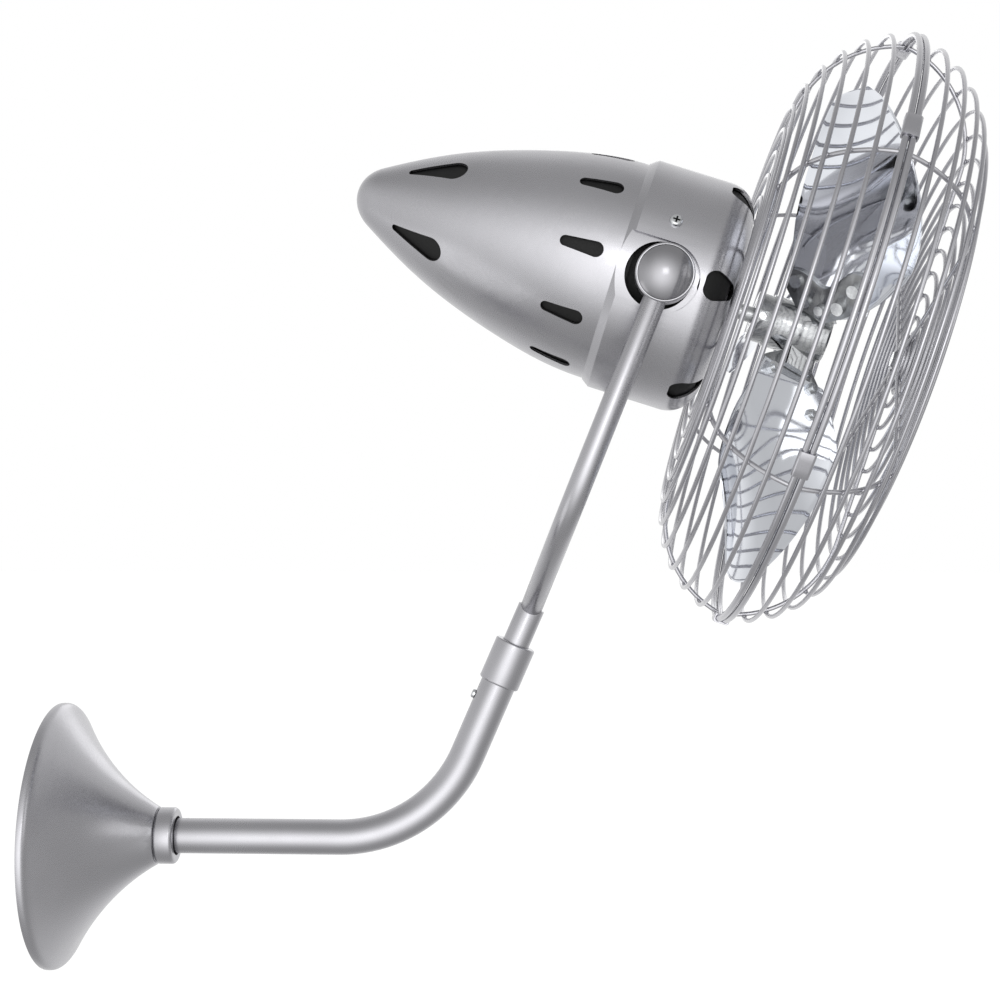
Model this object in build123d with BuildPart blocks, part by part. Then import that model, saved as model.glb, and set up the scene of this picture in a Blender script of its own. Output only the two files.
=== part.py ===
from build123d import *
import math
import os

os.makedirs("parts", exist_ok=True)

# wall mounted fan, millimetres
# origin: middle of the canopy on the wall, X out of the wall, Y away from the viewer, Z up

# clearances
RUN_FIT = 0.05
GAP = 0.3

# canopy and wall fixing
CANOPY_R = 84.0
CANOPY_DEEP = 65.0
CANOPY_WALL = 1.5
CANOPY_NECK_R = 18.2
COLLAR_R = 17.8
COLLAR_LEN = 10.6
PLATE_R = 54.0
PLATE_T = 3.0
BOX_SCREWS = 88.9
SLOT_LEN = 10.0
SLOT_R = 2.6
FLANGE_R = 30.0
FLANGE_T = 5.0
FLANGE_HOLES_R = 23.0
FLANGE_SCREW_R = 2.5
BUSH_LIP = 1.0
BUSH_WALL = 1.6
BUSH_LEN = 14.0
FLANGE_NECK = 8.0
FLANGE_NECK_WALL = 3.5
COLLAR_STEP = 1.6
COLLAR_EDGE = 2.4
COLLAR_LOOSE = 1.2
SET_SCREW_R = 2.0

# arm
TUBE_R = 11.1
SPIGOT_R = 8.55
ARM_REACH = 240.3
ARM_BEND_R = 89.0
ARM_RISE = 66.5
SLEEVE_START = 107.3
SLEEVE_LEN = 28.0
SLEEVE_R = 13.0
SLEEVE_LIP = 2.2
SPIGOT_SHOWN = 23.1
SPIGOT_DEEP = 62.0
GROOVE_W = 6.0
GROOVE_DEEP = 2.0
SPIGOT_WALL = 3.6
ARM_SCREW_R = 1.6
ARM_SCREW_HEAD_R = 2.9
ARM_SCREW_HEAD = 2.2
ARM_SCREW_BACK = 12.0
CROSS_SLOT = 0.8

# yoke
YOKE_RISE = 68.2
YOKE_LEN = 216.5
YOKE_TUBE_R = 7.0
YOKE_TUBE_WALL = 1.8
YOKE_SPREAD = 50.0
YOKE_BEND_R = 60.0
CUP_R = 17.35
CUP_RIM = 1.2
CUP_RECESS = 6.0
PIVOT_R = 4.0
PIVOT_HEAD = 3.6
CUP_EDGE = 0.7
CAP_DOME = 5.5
CAP_SET_IN = 1.6
CAP_SKIRT = 2.0
WASHER_R = 12.0
PIVOT_BOSS_R = 14.0

# head
TILT_DOWN = 17.8
HOUSING_R = 74.0
HOUSING_SIDE_GAP = 4.0
HOUSING_FRONT = 70.0
SHOULDER_R = 20.0
SHELL_WALL = 1.5
TAIL_R = 69.8
TAIL_LEN = 174.0
SEAM_A = -2.0
SKIRT = 8.0
PIVOT_A = 26.9
PIVOT_DROP = 4.0
FLAT_DEEP = 3.5
FLAT_HALF = 21.45
PIVOT_HOLE_R = 20.2
PIVOT_HOLE_BACK = 3.0
VENTS = 6
REAR_SLOTS = 10
TAIL_SLOTS = 5
LUG_TURN = 24.0
LUG_BACK = 3.0
SHELL_SCREW_R = 1.7
SHELL_HEAD_R = 4.0
SHELL_HEAD = 2.6
PLATE_SCREW_R = 2.1
PLATE_HEAD_R = 4.0
PLATE_HEAD = 2.4

# motor
STATOR_R = 56.0
STATOR_BORE_R = 34.0
STATOR_A = 4.0
STATOR_LEN = 40.0
COIL_LEN = 10.0
AIR_GAP = 0.4
SHAFT_R = 5.0
BEARING_R = 13.0
BEARING_W = 8.0
FRAME_WALL = 5.0
FRAME_FLOOR = 4.0
COVER_SCREW_R = 1.5
BEARING_SEAT = 4.0
SHAFT_SHOULDER = 2.0

# cage
CAGE_PLATE_T = 1.5
CAGE_FRONT_A = 186.0
RIM_A = 127.3
RIM_R = 188.2
CAGE_FLAT_SHARE = 0.6376
WIRE_R = 1.5
RIM_WIRE_R = 1.9
CROSS = 2.6
RING_STEP = 14.4
RIBS = 6
FIRST_RIB = 26.5
CLIP_TURN = 7.3
CLIP_ARC = 4.6
HUB_DISC_R = 18.0
HUB_DISC_T = 4.3
CAP_R = 21.0
CAP_DISC_T = 2.4
CAP_BOLT_R = 3.0
CAP_NUT = 3.4
CLIP_WALL = 1.0

# fan wheel
HUB_A = 88.0
HUB_R = 15.5
HUB_LEN = 49.0
HUB_NECK = 10.0
HUB_FRONT = 3.0
HUB_SCREW_R = 2.5
BARREL_R = 16.5
BLADE_A = 115.0
FIRST_BLADE = 50.0
BLADE_TIP_R = 154.0
BLADE_TIP_C = 27.0
ROOT_LEAD_C = 14.0
ROOT_TRAIL_C = -30.0
BLADE_ROOT_R = 28.0
BLADE_T = 1.2
IRON_T = 2.4
BLADE_PITCH = 62.0
OUTLINE_PITCH = 45.0
TWIST_START = 60.0
TWIST_ONSET = 15.0
TWIST_RATE = 0.488
CAMBER_R = 210.0
BAND_MID = -4.0
BAND_W = 140.0
BLADES = 3
TAB_MID = -8.0
TAB_HOLES = [(23.5, TAB_MID + 5), (23.5, TAB_MID - 5)]
TAB_SCREW_R = 1.6
BLADE_HOLES = [(33, 8), (32, -24), (48, -29)]
BLADE_SCREW_R = 2.1

# derived directions and points
rise = math.radians(ARM_RISE)
lean = math.radians(YOKE_RISE)
tilt = math.radians(TILT_DOWN)
NEAR = Vector(0, -1, 0)
ARM_UP = Vector(math.cos(rise), 0, math.sin(rise))
ARM_BACK = Vector(-math.sin(rise), 0, math.cos(rise))
YOKE_UP = Vector(math.cos(lean), 0, math.sin(lean))
NOSE = Vector(math.cos(tilt), 0, -math.sin(tilt))
CROWN = Vector(math.sin(tilt), 0, math.cos(tilt))

CORNER = Vector(ARM_REACH, 0, 0)
TANGENT = ARM_BEND_R * math.tan(rise / 2)
TUBE_END = SLEEVE_START + SLEEVE_LEN - SLEEVE_LIP
SLEEVE_END = SLEEVE_START + SLEEVE_LEN
SPIGOT_TOP = SLEEVE_END + SPIGOT_SHOWN
SPIGOT_FOOT = SPIGOT_TOP - SPIGOT_SHOWN - SPIGOT_DEEP
CROTCH = CORNER + ARM_UP * SPIGOT_TOP
PIVOT = CROTCH + YOKE_UP * YOKE_LEN
HEAD = PIVOT - NOSE * PIVOT_A + CROWN * PIVOT_DROP

CUP_IN = HOUSING_R + HOUSING_SIDE_GAP
CUP_OUT = CUP_IN + 2 * YOKE_TUBE_R
FLOOR = CUP_OUT - CUP_RECESS
BOSS_FACE = HOUSING_R + 0.5
FRAME_R = STATOR_R + FRAME_WALL
CAGE_FLAT_R = RIM_R * CAGE_FLAT_SHARE
COVER_HOLES_R = (STATOR_R + FRAME_R) / 2
COVER_A = STATOR_A + STATOR_LEN + COIL_LEN + 2.0
BACK_A = STATOR_A - COIL_LEN - 12.0
SHELL_FLAT_R = HOUSING_R - SHOULDER_R
CAGE_PLATE_R = SHELL_FLAT_R - 6.0
PLATE_HOLES_R = CAGE_PLATE_R - 10.0
CAGE_REAR_A = HOUSING_FRONT + CAGE_PLATE_T + WIRE_R - CROSS - 0.2

WALL_SIDE = Plane.XZ
HEAD_SIDE = Plane(origin=HEAD, x_dir=NOSE, z_dir=NEAR)
HEAD_FACE = Plane(origin=HEAD, x_dir=(0, 1, 0), z_dir=NOSE)
HEAD_AXIS = Axis(HEAD, NOSE)
WALL_AXIS = Axis((0, 0, 0), (1, 0, 0))
YOKE_FACE = Plane(origin=CROTCH, x_dir=NEAR, z_dir=NEAR.cross(YOKE_UP))


def spoke(angle):
    """Direction square to the head axis, zero toward the viewer, ninety toward the crown."""
    turn = math.radians(angle)
    return NEAR * math.cos(turn) + CROWN * math.sin(turn)


def across(angle):
    """Plane holding the head axis and one spoke: x along the axis, y along the spoke."""
    return Plane(origin=HEAD, x_dir=NOSE, z_dir=NOSE.cross(spoke(angle)))


def seen_from(angle, a, radius):
    """Plane that faces out along a spoke, x along the head axis."""
    point = HEAD + NOSE * a + spoke(angle) * radius
    return Plane(origin=point, x_dir=NOSE, z_dir=spoke(angle))


def pivot_plane(side, distance):
    """Plane square to the pivot line, facing out of the head; side is 1 near and -1 far."""
    point = Vector(PIVOT.X, -side * distance, PIVOT.Z)
    return Plane(origin=point, x_dir=NOSE, z_dir=NEAR * side)


def pitch_at(reach):
    """Pitch of a blade: steep at its bracket, flatter by the twist further out."""
    past = max(0, reach - TWIST_START)
    onset = min(past, TWIST_ONSET)
    return BLADE_PITCH - TWIST_RATE * (onset**2 / (2 * TWIST_ONSET) + past - onset)


def blade_plane(angle, a, pitch=BLADE_PITCH):
    """Plane of one blade: x out along the spoke, y along the pitched chord."""
    turn = math.radians(pitch)
    around = NOSE.cross(spoke(angle)) * -1
    chord = around * math.cos(turn) - NOSE * math.sin(turn)
    return Plane(origin=HEAD + NOSE * a, x_dir=spoke(angle), z_dir=spoke(angle).cross(chord))


# ---------------------------------------------------------------- wall fixing

with BuildPart() as mounting_plate:
    with BuildSketch(Plane.YZ):
        Circle(PLATE_R)
        Circle(TUBE_R - BUSH_LIP, mode=Mode.SUBTRACT)
        with Locations((BOX_SCREWS / 2, 0), (-BOX_SCREWS / 2, 0)):
            SlotOverall(SLOT_LEN, 2 * SLOT_R, mode=Mode.SUBTRACT)
        with PolarLocations(FLANGE_HOLES_R, 4, start_angle=45):
            Circle(FLANGE_SCREW_R, mode=Mode.SUBTRACT)
    extrude(amount=PLATE_T)
mounting_plate.part.label = "mounting_plate"
export_step(mounting_plate.part, "parts/mounting_plate.step")

with BuildPart() as arm_flange:
    with BuildSketch(Plane.YZ.offset(PLATE_T)):
        Circle(FLANGE_R)
        with PolarLocations(FLANGE_HOLES_R, 4, start_angle=45):
            Circle(FLANGE_SCREW_R, mode=Mode.SUBTRACT)
    extrude(amount=FLANGE_T)
    with BuildSketch(Plane.YZ.offset(PLATE_T + FLANGE_T)):
        Circle(TUBE_R + FLANGE_NECK_WALL)
    extrude(amount=FLANGE_NECK)
    with BuildSketch(Plane.YZ.offset(PLATE_T)):
        Circle(TUBE_R)
    extrude(amount=FLANGE_T + FLANGE_NECK, mode=Mode.SUBTRACT)
arm_flange.part.label = "arm_flange"
export_step(arm_flange.part, "parts/arm_flange.step")

with BuildPart() as flange_screws:
    with BuildSketch(Plane.YZ.offset(PLATE_T + FLANGE_T)):
        with PolarLocations(FLANGE_HOLES_R, 4, start_angle=45):
            RegularPolygon(FLANGE_SCREW_R * 1.8, 6)
    extrude(amount=3.5)
    with BuildSketch(Plane.YZ):
        with PolarLocations(FLANGE_HOLES_R, 4, start_angle=45):
            Circle(FLANGE_SCREW_R)
    extrude(amount=PLATE_T + FLANGE_T)
flange_screws.part.label = "flange_screws"
export_step(flange_screws.part, "parts/flange_screws.step")

neck_in = CANOPY_NECK_R - CANOPY_WALL * 1.2
with BuildPart() as canopy:
    with BuildSketch(WALL_SIDE):
        with BuildLine():
            Line((0, CANOPY_R - CANOPY_WALL), (0, CANOPY_R))
            Line((0, CANOPY_R), (2.4, CANOPY_R))
            Bezier((2.4, CANOPY_R), (4.6, CANOPY_R), (6.4, CANOPY_R - 3.0))
            Bezier((6.4, CANOPY_R - 3.0), (30, 38), (CANOPY_DEEP, CANOPY_NECK_R))
            Line((CANOPY_DEEP, CANOPY_NECK_R), (CANOPY_DEEP, neck_in))
            Bezier((CANOPY_DEEP, neck_in), (28.6, 37.2), (5.0, CANOPY_R - 4.0))
            Bezier((5.0, CANOPY_R - 4.0), (3.4, CANOPY_R - CANOPY_WALL), (2.0, CANOPY_R - CANOPY_WALL))
            Line((2.0, CANOPY_R - CANOPY_WALL), (0, CANOPY_R - CANOPY_WALL))
        make_face()
    revolve(axis=WALL_AXIS)
canopy.part.label = "canopy"
export_step(canopy.part, "parts/canopy.step")

collar_bore = TUBE_R + COLLAR_LOOSE
collar_from = CANOPY_DEEP + COLLAR_STEP
with BuildPart() as canopy_collar:
    with BuildSketch(Plane.YZ.offset(CANOPY_DEEP)):
        Circle(COLLAR_R - COLLAR_STEP)
    extrude(amount=COLLAR_STEP)
    with BuildSketch(Plane.YZ.offset(collar_from)):
        Circle(COLLAR_R)
    extrude(amount=COLLAR_LEN)
    fillet(canopy_collar.faces().sort_by(Axis.X)[-1].edges(), COLLAR_EDGE)
    with BuildSketch(Plane.YZ.offset(CANOPY_DEEP)):
        Circle(collar_bore)
    extrude(amount=COLLAR_LEN + COLLAR_STEP, mode=Mode.SUBTRACT)
    with BuildSketch(Plane.XZ.offset(-COLLAR_R)):
        with Locations((collar_from + COLLAR_LEN / 2, 0)):
            Circle(SET_SCREW_R)
    extrude(amount=COLLAR_R - SET_SCREW_R, mode=Mode.SUBTRACT)
canopy_collar.part.label = "canopy_collar"
export_step(canopy_collar.part, "parts/canopy_collar.step")

with BuildPart() as collar_screw:
    with BuildSketch(Plane.XZ.offset(-COLLAR_R + 0.4)):
        with Locations((collar_from + COLLAR_LEN / 2, 0)):
            Circle(SET_SCREW_R)
    extrude(amount=COLLAR_R - TUBE_R + 0.6)
    with BuildSketch(Plane.XZ.offset(-COLLAR_R + 0.4)):
        with Locations((collar_from + COLLAR_LEN / 2, 0)):
            RegularPolygon(1.1, 6)
    extrude(amount=2.0, mode=Mode.SUBTRACT)
    with BuildSketch(Plane.YZ.offset(collar_from)):
        Circle(TUBE_R)
    extrude(amount=COLLAR_LEN, mode=Mode.SUBTRACT)
collar_screw.part.label = "collar_screw"
export_step(collar_screw.part, "parts/collar_screw.step")

# ---------------------------------------------------------------- arm

tube_bore = SPIGOT_R + RUN_FIT
screw_at = SLEEVE_START - ARM_SCREW_BACK
with BuildPart() as arm_tube:
    with BuildLine(WALL_SIDE) as arm_path:
        Line((PLATE_T, 0), (ARM_REACH - TANGENT, 0))
        JernArc(start=(ARM_REACH - TANGENT, 0), tangent=(1, 0), radius=ARM_BEND_R, arc_size=ARM_RISE)
        PolarLine(arm_path.line @ 1, TUBE_END - TANGENT, angle=ARM_RISE)
    with BuildSketch(Plane.YZ.offset(PLATE_T)):
        Circle(TUBE_R)
        Circle(tube_bore, mode=Mode.SUBTRACT)
    sweep(path=arm_path.line)
    with BuildSketch(Plane(origin=CORNER + ARM_UP * screw_at, x_dir=ARM_UP, z_dir=ARM_BACK)):
        Circle(ARM_SCREW_R)
    extrude(amount=TUBE_R + 1, mode=Mode.SUBTRACT)
arm_tube.part.label = "arm_tube"
export_step(arm_tube.part, "parts/arm_tube.step")

with BuildPart() as wire_bushing:
    with BuildSketch(Plane.YZ.offset(PLATE_T)):
        Circle(tube_bore)
        Circle(tube_bore - BUSH_WALL, mode=Mode.SUBTRACT)
    extrude(amount=BUSH_LEN)
    with BuildSketch(Plane.YZ):
        Circle(TUBE_R - BUSH_LIP)
        Circle(tube_bore - BUSH_WALL, mode=Mode.SUBTRACT)
    extrude(amount=PLATE_T)
wire_bushing.part.label = "wire_bushing"
export_step(wire_bushing.part, "parts/wire_bushing.step")

with BuildPart() as arm_sleeve:
    with BuildSketch(Plane(origin=CORNER + ARM_UP * SLEEVE_START, x_dir=NEAR, z_dir=ARM_UP)):
        Circle(SLEEVE_R)
    extrude(amount=SLEEVE_LEN)
    chamfer(arm_sleeve.faces().filter_by(GeomType.PLANE).edges(), 0.8)
    with BuildSketch(Plane(origin=CORNER + ARM_UP * SLEEVE_START, x_dir=NEAR, z_dir=ARM_UP)):
        Circle(TUBE_R)
    extrude(amount=SLEEVE_LEN - SLEEVE_LIP, mode=Mode.SUBTRACT)
    with BuildSketch(Plane(origin=CORNER + ARM_UP * SLEEVE_START, x_dir=NEAR, z_dir=ARM_UP)):
        Circle(SPIGOT_R + GAP)
    extrude(amount=SLEEVE_LEN, mode=Mode.SUBTRACT)
arm_sleeve.part.label = "arm_sleeve"
export_step(arm_sleeve.part, "parts/arm_sleeve.step")

screw_tip = SPIGOT_R - GROOVE_DEEP + GAP


def screw_plane(height):
    """Plane square to the arm screw, a given distance out from the arm axis."""
    point = CORNER + ARM_UP * screw_at + ARM_BACK * height
    return Plane(origin=point, x_dir=ARM_UP, z_dir=ARM_BACK)


with BuildPart() as arm_screw:
    with BuildSketch(screw_plane(TUBE_R)):
        Circle(ARM_SCREW_HEAD_R)
    extrude(amount=ARM_SCREW_HEAD)
    fillet(arm_screw.faces().sort_by(Axis(CORNER, ARM_BACK))[-1].edges(), 1.3)
    with BuildSketch(screw_plane(screw_tip)):
        Circle(ARM_SCREW_R)
    extrude(amount=TUBE_R - screw_tip)
    with BuildSketch(screw_plane(TUBE_R + ARM_SCREW_HEAD / 2)):
        Rectangle(ARM_SCREW_HEAD_R, CROSS_SLOT)
        Rectangle(CROSS_SLOT, ARM_SCREW_HEAD_R)
    extrude(amount=3, mode=Mode.SUBTRACT)
arm_screw.part.label = "arm_screw"
export_step(arm_screw.part, "parts/arm_screw.step")

# ---------------------------------------------------------------- yoke

spread = math.radians(YOKE_SPREAD)
cup_mid = CUP_IN + YOKE_TUBE_R
yoke_turn = YOKE_BEND_R * (1 - math.cos(spread))
yoke_leg = (cup_mid - yoke_turn) / math.sin(spread)


def yoke_run(side):
    """Middle line of one yoke arm, from the crotch to the cup."""
    knee = (side * yoke_leg * math.sin(spread), yoke_leg * math.cos(spread))
    ankle = (side * cup_mid, knee[1] + YOKE_BEND_R * math.sin(spread))
    with BuildLine(YOKE_FACE) as run:
        Line((0, 0), knee)
        JernArc(start=knee, tangent=knee, radius=YOKE_BEND_R, arc_size=side * YOKE_SPREAD)
        Line(ankle, (side * cup_mid, YOKE_LEN - CUP_R + 3))
    return run.line


def foot_plane(side):
    """Plane square to the lower end of one yoke arm."""
    reach = NEAR * side * math.sin(spread) + YOKE_UP * math.cos(spread)
    return Plane(origin=CROTCH, x_dir=NEAR.cross(YOKE_UP), z_dir=reach)


with BuildPart() as yoke_arm_near:
    with BuildSketch(foot_plane(1)):
        Circle(YOKE_TUBE_R)
        Circle(YOKE_TUBE_R - YOKE_TUBE_WALL, mode=Mode.SUBTRACT)
    sweep(path=yoke_run(1))
    split(bisect_by=Plane(origin=CROTCH, z_dir=NEAR), keep=Keep.TOP)
    with BuildSketch(pivot_plane(1, CUP_IN - 2)):
        Circle(CUP_R)
    extrude(amount=2 * YOKE_TUBE_R + 4, mode=Mode.SUBTRACT)
yoke_arm_near.part.label = "yoke_arm_near"
export_step(yoke_arm_near.part, "parts/yoke_arm_near.step")

with BuildPart() as yoke_arm_far:
    with BuildSketch(foot_plane(-1)):
        Circle(YOKE_TUBE_R)
        Circle(YOKE_TUBE_R - YOKE_TUBE_WALL, mode=Mode.SUBTRACT)
    sweep(path=yoke_run(-1))
    split(bisect_by=Plane(origin=CROTCH, z_dir=NEAR), keep=Keep.BOTTOM)
    with BuildSketch(pivot_plane(-1, CUP_IN - 2)):
        Circle(CUP_R)
    extrude(amount=2 * YOKE_TUBE_R + 4, mode=Mode.SUBTRACT)
yoke_arm_far.part.label = "yoke_arm_far"
export_step(yoke_arm_far.part, "parts/yoke_arm_far.step")


def arm_plane(distance):
    """Plane square to the arm axis, a given distance up from the corner."""
    return Plane(origin=CORNER + ARM_UP * distance, x_dir=NEAR, z_dir=ARM_UP)


with BuildPart() as yoke_spigot:
    with BuildSketch(arm_plane(SPIGOT_FOOT)):
        Circle(SPIGOT_R)
    extrude(amount=SPIGOT_TOP - SPIGOT_FOOT + 2)
    with BuildSketch(arm_plane(screw_at - GROOVE_W / 2)):
        Circle(SPIGOT_R + 1)
        Circle(SPIGOT_R - GROOVE_DEEP, mode=Mode.SUBTRACT)
    extrude(amount=GROOVE_W, mode=Mode.SUBTRACT)
    with BuildSketch(arm_plane(SPIGOT_FOOT)):
        Circle(SPIGOT_R - SPIGOT_WALL)
    extrude(amount=SPIGOT_TOP - SPIGOT_FOOT + 4, mode=Mode.SUBTRACT)
    for side in (1, -1):
        with BuildSketch(foot_plane(side)):
            Circle(YOKE_TUBE_R)
        extrude(amount=YOKE_TUBE_R * 5, mode=Mode.SUBTRACT)
yoke_spigot.part.label = "yoke_spigot"
export_step(yoke_spigot.part, "parts/yoke_spigot.step")


def cup_block(side):
    """One pivot cup: disc with a round recess on the outside and a bore for the bolt."""
    with BuildPart() as cup:
        with BuildSketch(pivot_plane(side, CUP_IN)):
            Circle(CUP_R)
        extrude(amount=2 * YOKE_TUBE_R)
        chamfer(cup.faces().filter_by(Axis.Y).edges(), CUP_EDGE)
        with BuildSketch(pivot_plane(side, FLOOR)):
            Circle(CUP_R - CUP_RIM)
        extrude(amount=CUP_RECESS, mode=Mode.SUBTRACT)
        with BuildSketch(pivot_plane(side, CUP_IN)):
            Circle(PIVOT_R)
        extrude(amount=2 * YOKE_TUBE_R, mode=Mode.SUBTRACT)
    return cup.part


near_cup = cup_block(1)
with BuildPart() as pivot_cup_near:
    add(near_cup)
pivot_cup_near.part.label = "pivot_cup_near"
export_step(pivot_cup_near.part, "parts/pivot_cup_near.step")

far_cup = cup_block(-1)
with BuildPart() as pivot_cup_far:
    add(far_cup)
pivot_cup_far.part.label = "pivot_cup_far"
export_step(pivot_cup_far.part, "parts/pivot_cup_far.step")

cap_r = CUP_R - CUP_RIM - GAP
dome_r = (cap_r * cap_r + CAP_DOME * CAP_DOME) / (2 * CAP_DOME)
dome_turn = math.degrees(math.asin(cap_r / dome_r))


def cap_block(side):
    """One domed cap with a skirt that snaps into the recess of its cup."""
    section = Plane(origin=(PIVOT.X, 0, PIVOT.Z), x_dir=NEAR * side, z_dir=(0, 0, 1))
    with BuildPart() as cap:
        with BuildSketch(section):
            with BuildLine():
                Line((CUP_OUT - CAP_SET_IN, 0), (CUP_OUT - CAP_SET_IN, cap_r))
                Line((CUP_OUT - CAP_SET_IN, cap_r), (CUP_OUT, cap_r))
                CenterArc((CUP_OUT + CAP_DOME - dome_r, 0), dome_r, 0, dome_turn)
                Line((CUP_OUT + CAP_DOME, 0), (CUP_OUT - CAP_SET_IN, 0))
            make_face()
        revolve(axis=Axis((PIVOT.X, 0, PIVOT.Z), (0, 1, 0)))
        with BuildSketch(pivot_plane(side, FLOOR)):
            Circle(cap_r - CAP_SKIRT)
            Circle(cap_r - 2 * CAP_SKIRT, mode=Mode.SUBTRACT)
        extrude(amount=CUP_RECESS - CAP_SET_IN)
    return cap.part


domes = [cap_block(side) for side in (1, -1)]
with BuildPart() as pivot_caps:
    add(domes)
pivot_caps.part.label = "pivot_caps"
export_step(pivot_caps.part, "parts/pivot_caps.step")

with BuildPart() as pivot_bolts:
    for side in (1, -1):
        with BuildSketch(pivot_plane(side, FLOOR)):
            RegularPolygon(PIVOT_R * 1.7, 6)
        extrude(amount=PIVOT_HEAD)
        with BuildSketch(pivot_plane(side, FRAME_R - 1)):
            Circle(PIVOT_R)
        extrude(amount=FLOOR - FRAME_R + 1)
pivot_bolts.part.label = "pivot_bolts"
export_step(pivot_bolts.part, "parts/pivot_bolts.step")

with BuildPart() as friction_washers:
    for side in (1, -1):
        with BuildSketch(pivot_plane(side, BOSS_FACE + RUN_FIT)):
            Circle(WASHER_R)
            Circle(PIVOT_R, mode=Mode.SUBTRACT)
        extrude(amount=CUP_IN - BOSS_FACE - RUN_FIT)
friction_washers.part.label = "friction_washers"
export_step(friction_washers.part, "parts/friction_washers.step")

# ---------------------------------------------------------------- housing


def bullet(cut):
    """Side outline of the tail, taken in by a wall thickness."""
    nose = -TAIL_LEN + cut
    flank = (-TAIL_LEN * 0.353, TAIL_R * 0.872 - cut)
    waist = (-TAIL_LEN * 0.684 + cut * 0.4, TAIL_R * 0.594 - cut)
    knob = (-TAIL_LEN * 0.931 + cut * 0.5, TAIL_R * 0.272 - cut * 0.85)
    with BuildSketch(HEAD_SIDE) as outline:
        with BuildLine():
            Line((SEAM_A + SKIRT, 0), (SEAM_A + SKIRT, TAIL_R - cut))
            Line((SEAM_A + SKIRT, TAIL_R - cut), (SEAM_A, TAIL_R - cut))
            Spline(
                (SEAM_A, TAIL_R - cut),
                flank,
                waist,
                knob,
                tangents=[(-1, 0), (-0.86, -0.5)],
            )
            Bezier(knob, (knob[0] - 9.2 + cut * 0.3, knob[1] - 5.4), (nose, 6), (nose, 0))
            Line((nose, 0), (SEAM_A + SKIRT, 0))
        make_face()
    return outline.sketch


def teardrop(length, small, large):
    """Slot outline with its narrow end toward the tail."""
    with Locations((-length / 2 + small, 0)):
        Circle(small)
    with Locations((length / 2 - large, 0)):
        Circle(large)
    make_hull()


flat_out = HOUSING_R - FLAT_DEEP
flat_in = flat_out - SHELL_WALL


def side_flat(grow):
    """Outline of a side flat: open at the seam, round about the pivot."""
    length = PIVOT_A - SEAM_A + 4
    Circle(FLAT_HALF + grow)
    with Locations((-length / 2, 0)):
        Rectangle(length, 2 * FLAT_HALF + 2 * grow)


with BuildPart() as tail_shell:
    add(bullet(0))
    revolve(axis=HEAD_AXIS)
    add(bullet(SHELL_WALL))
    revolve(axis=HEAD_AXIS, mode=Mode.SUBTRACT)
    for turn in range(REAR_SLOTS):
        with BuildSketch(seen_from(turn * 360 / REAR_SLOTS, SEAM_A - 23, TAIL_R * 0.2)):
            teardrop(27, 3.25, 4.75)
    for turn in range(TAIL_SLOTS):
        with BuildSketch(seen_from((turn + 0.5) * 360 / TAIL_SLOTS, -TAIL_LEN * 0.718, TAIL_R * 0.2)):
            teardrop(36, 2.0, 7.5)
    extrude(amount=TAIL_R, mode=Mode.SUBTRACT)
    for side in (1, -1):
        with BuildSketch(pivot_plane(side, flat_in)):
            with Locations(((SEAM_A - PIVOT_A) + SKIRT / 2 + 1, 0)):
                Rectangle(SKIRT + 2, 2 * FLAT_HALF + 2 * SHELL_WALL)
        extrude(amount=SKIRT, mode=Mode.SUBTRACT)
tail_shell.part.label = "tail_shell"
export_step(tail_shell.part, "parts/tail_shell.step")

LUGS = [LUG_TURN, -LUG_TURN, 180 - LUG_TURN, 180 + LUG_TURN]
lug_a = PIVOT_A - LUG_BACK
step_a = SEAM_A + SKIRT
with BuildPart() as shell_room:
    with BuildSketch(HEAD_SIDE):
        with BuildLine():
            bore_r = HOUSING_R - SHELL_WALL
            bend_a = HOUSING_FRONT - SHOULDER_R
            Line((SEAM_A - 1, 0), (SEAM_A - 1, TAIL_R))
            Line((SEAM_A - 1, TAIL_R), (step_a, TAIL_R))
            Line((step_a, TAIL_R), (step_a + 2, bore_r))
            Line((step_a + 2, bore_r), (bend_a, bore_r))
            inside_a = HOUSING_FRONT - SHELL_WALL
            RadiusArc((bend_a, bore_r), (inside_a, SHELL_FLAT_R), SHOULDER_R - SHELL_WALL)
            Line((inside_a, SHELL_FLAT_R), (inside_a, 0))
            Line((inside_a, 0), (SEAM_A - 1, 0))
        make_face()
    revolve(axis=HEAD_AXIS)
    for side in (1, -1):
        with BuildSketch(pivot_plane(side, flat_in)):
            side_flat(SHELL_WALL)
        extrude(amount=SHOULDER_R, mode=Mode.SUBTRACT)

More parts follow.
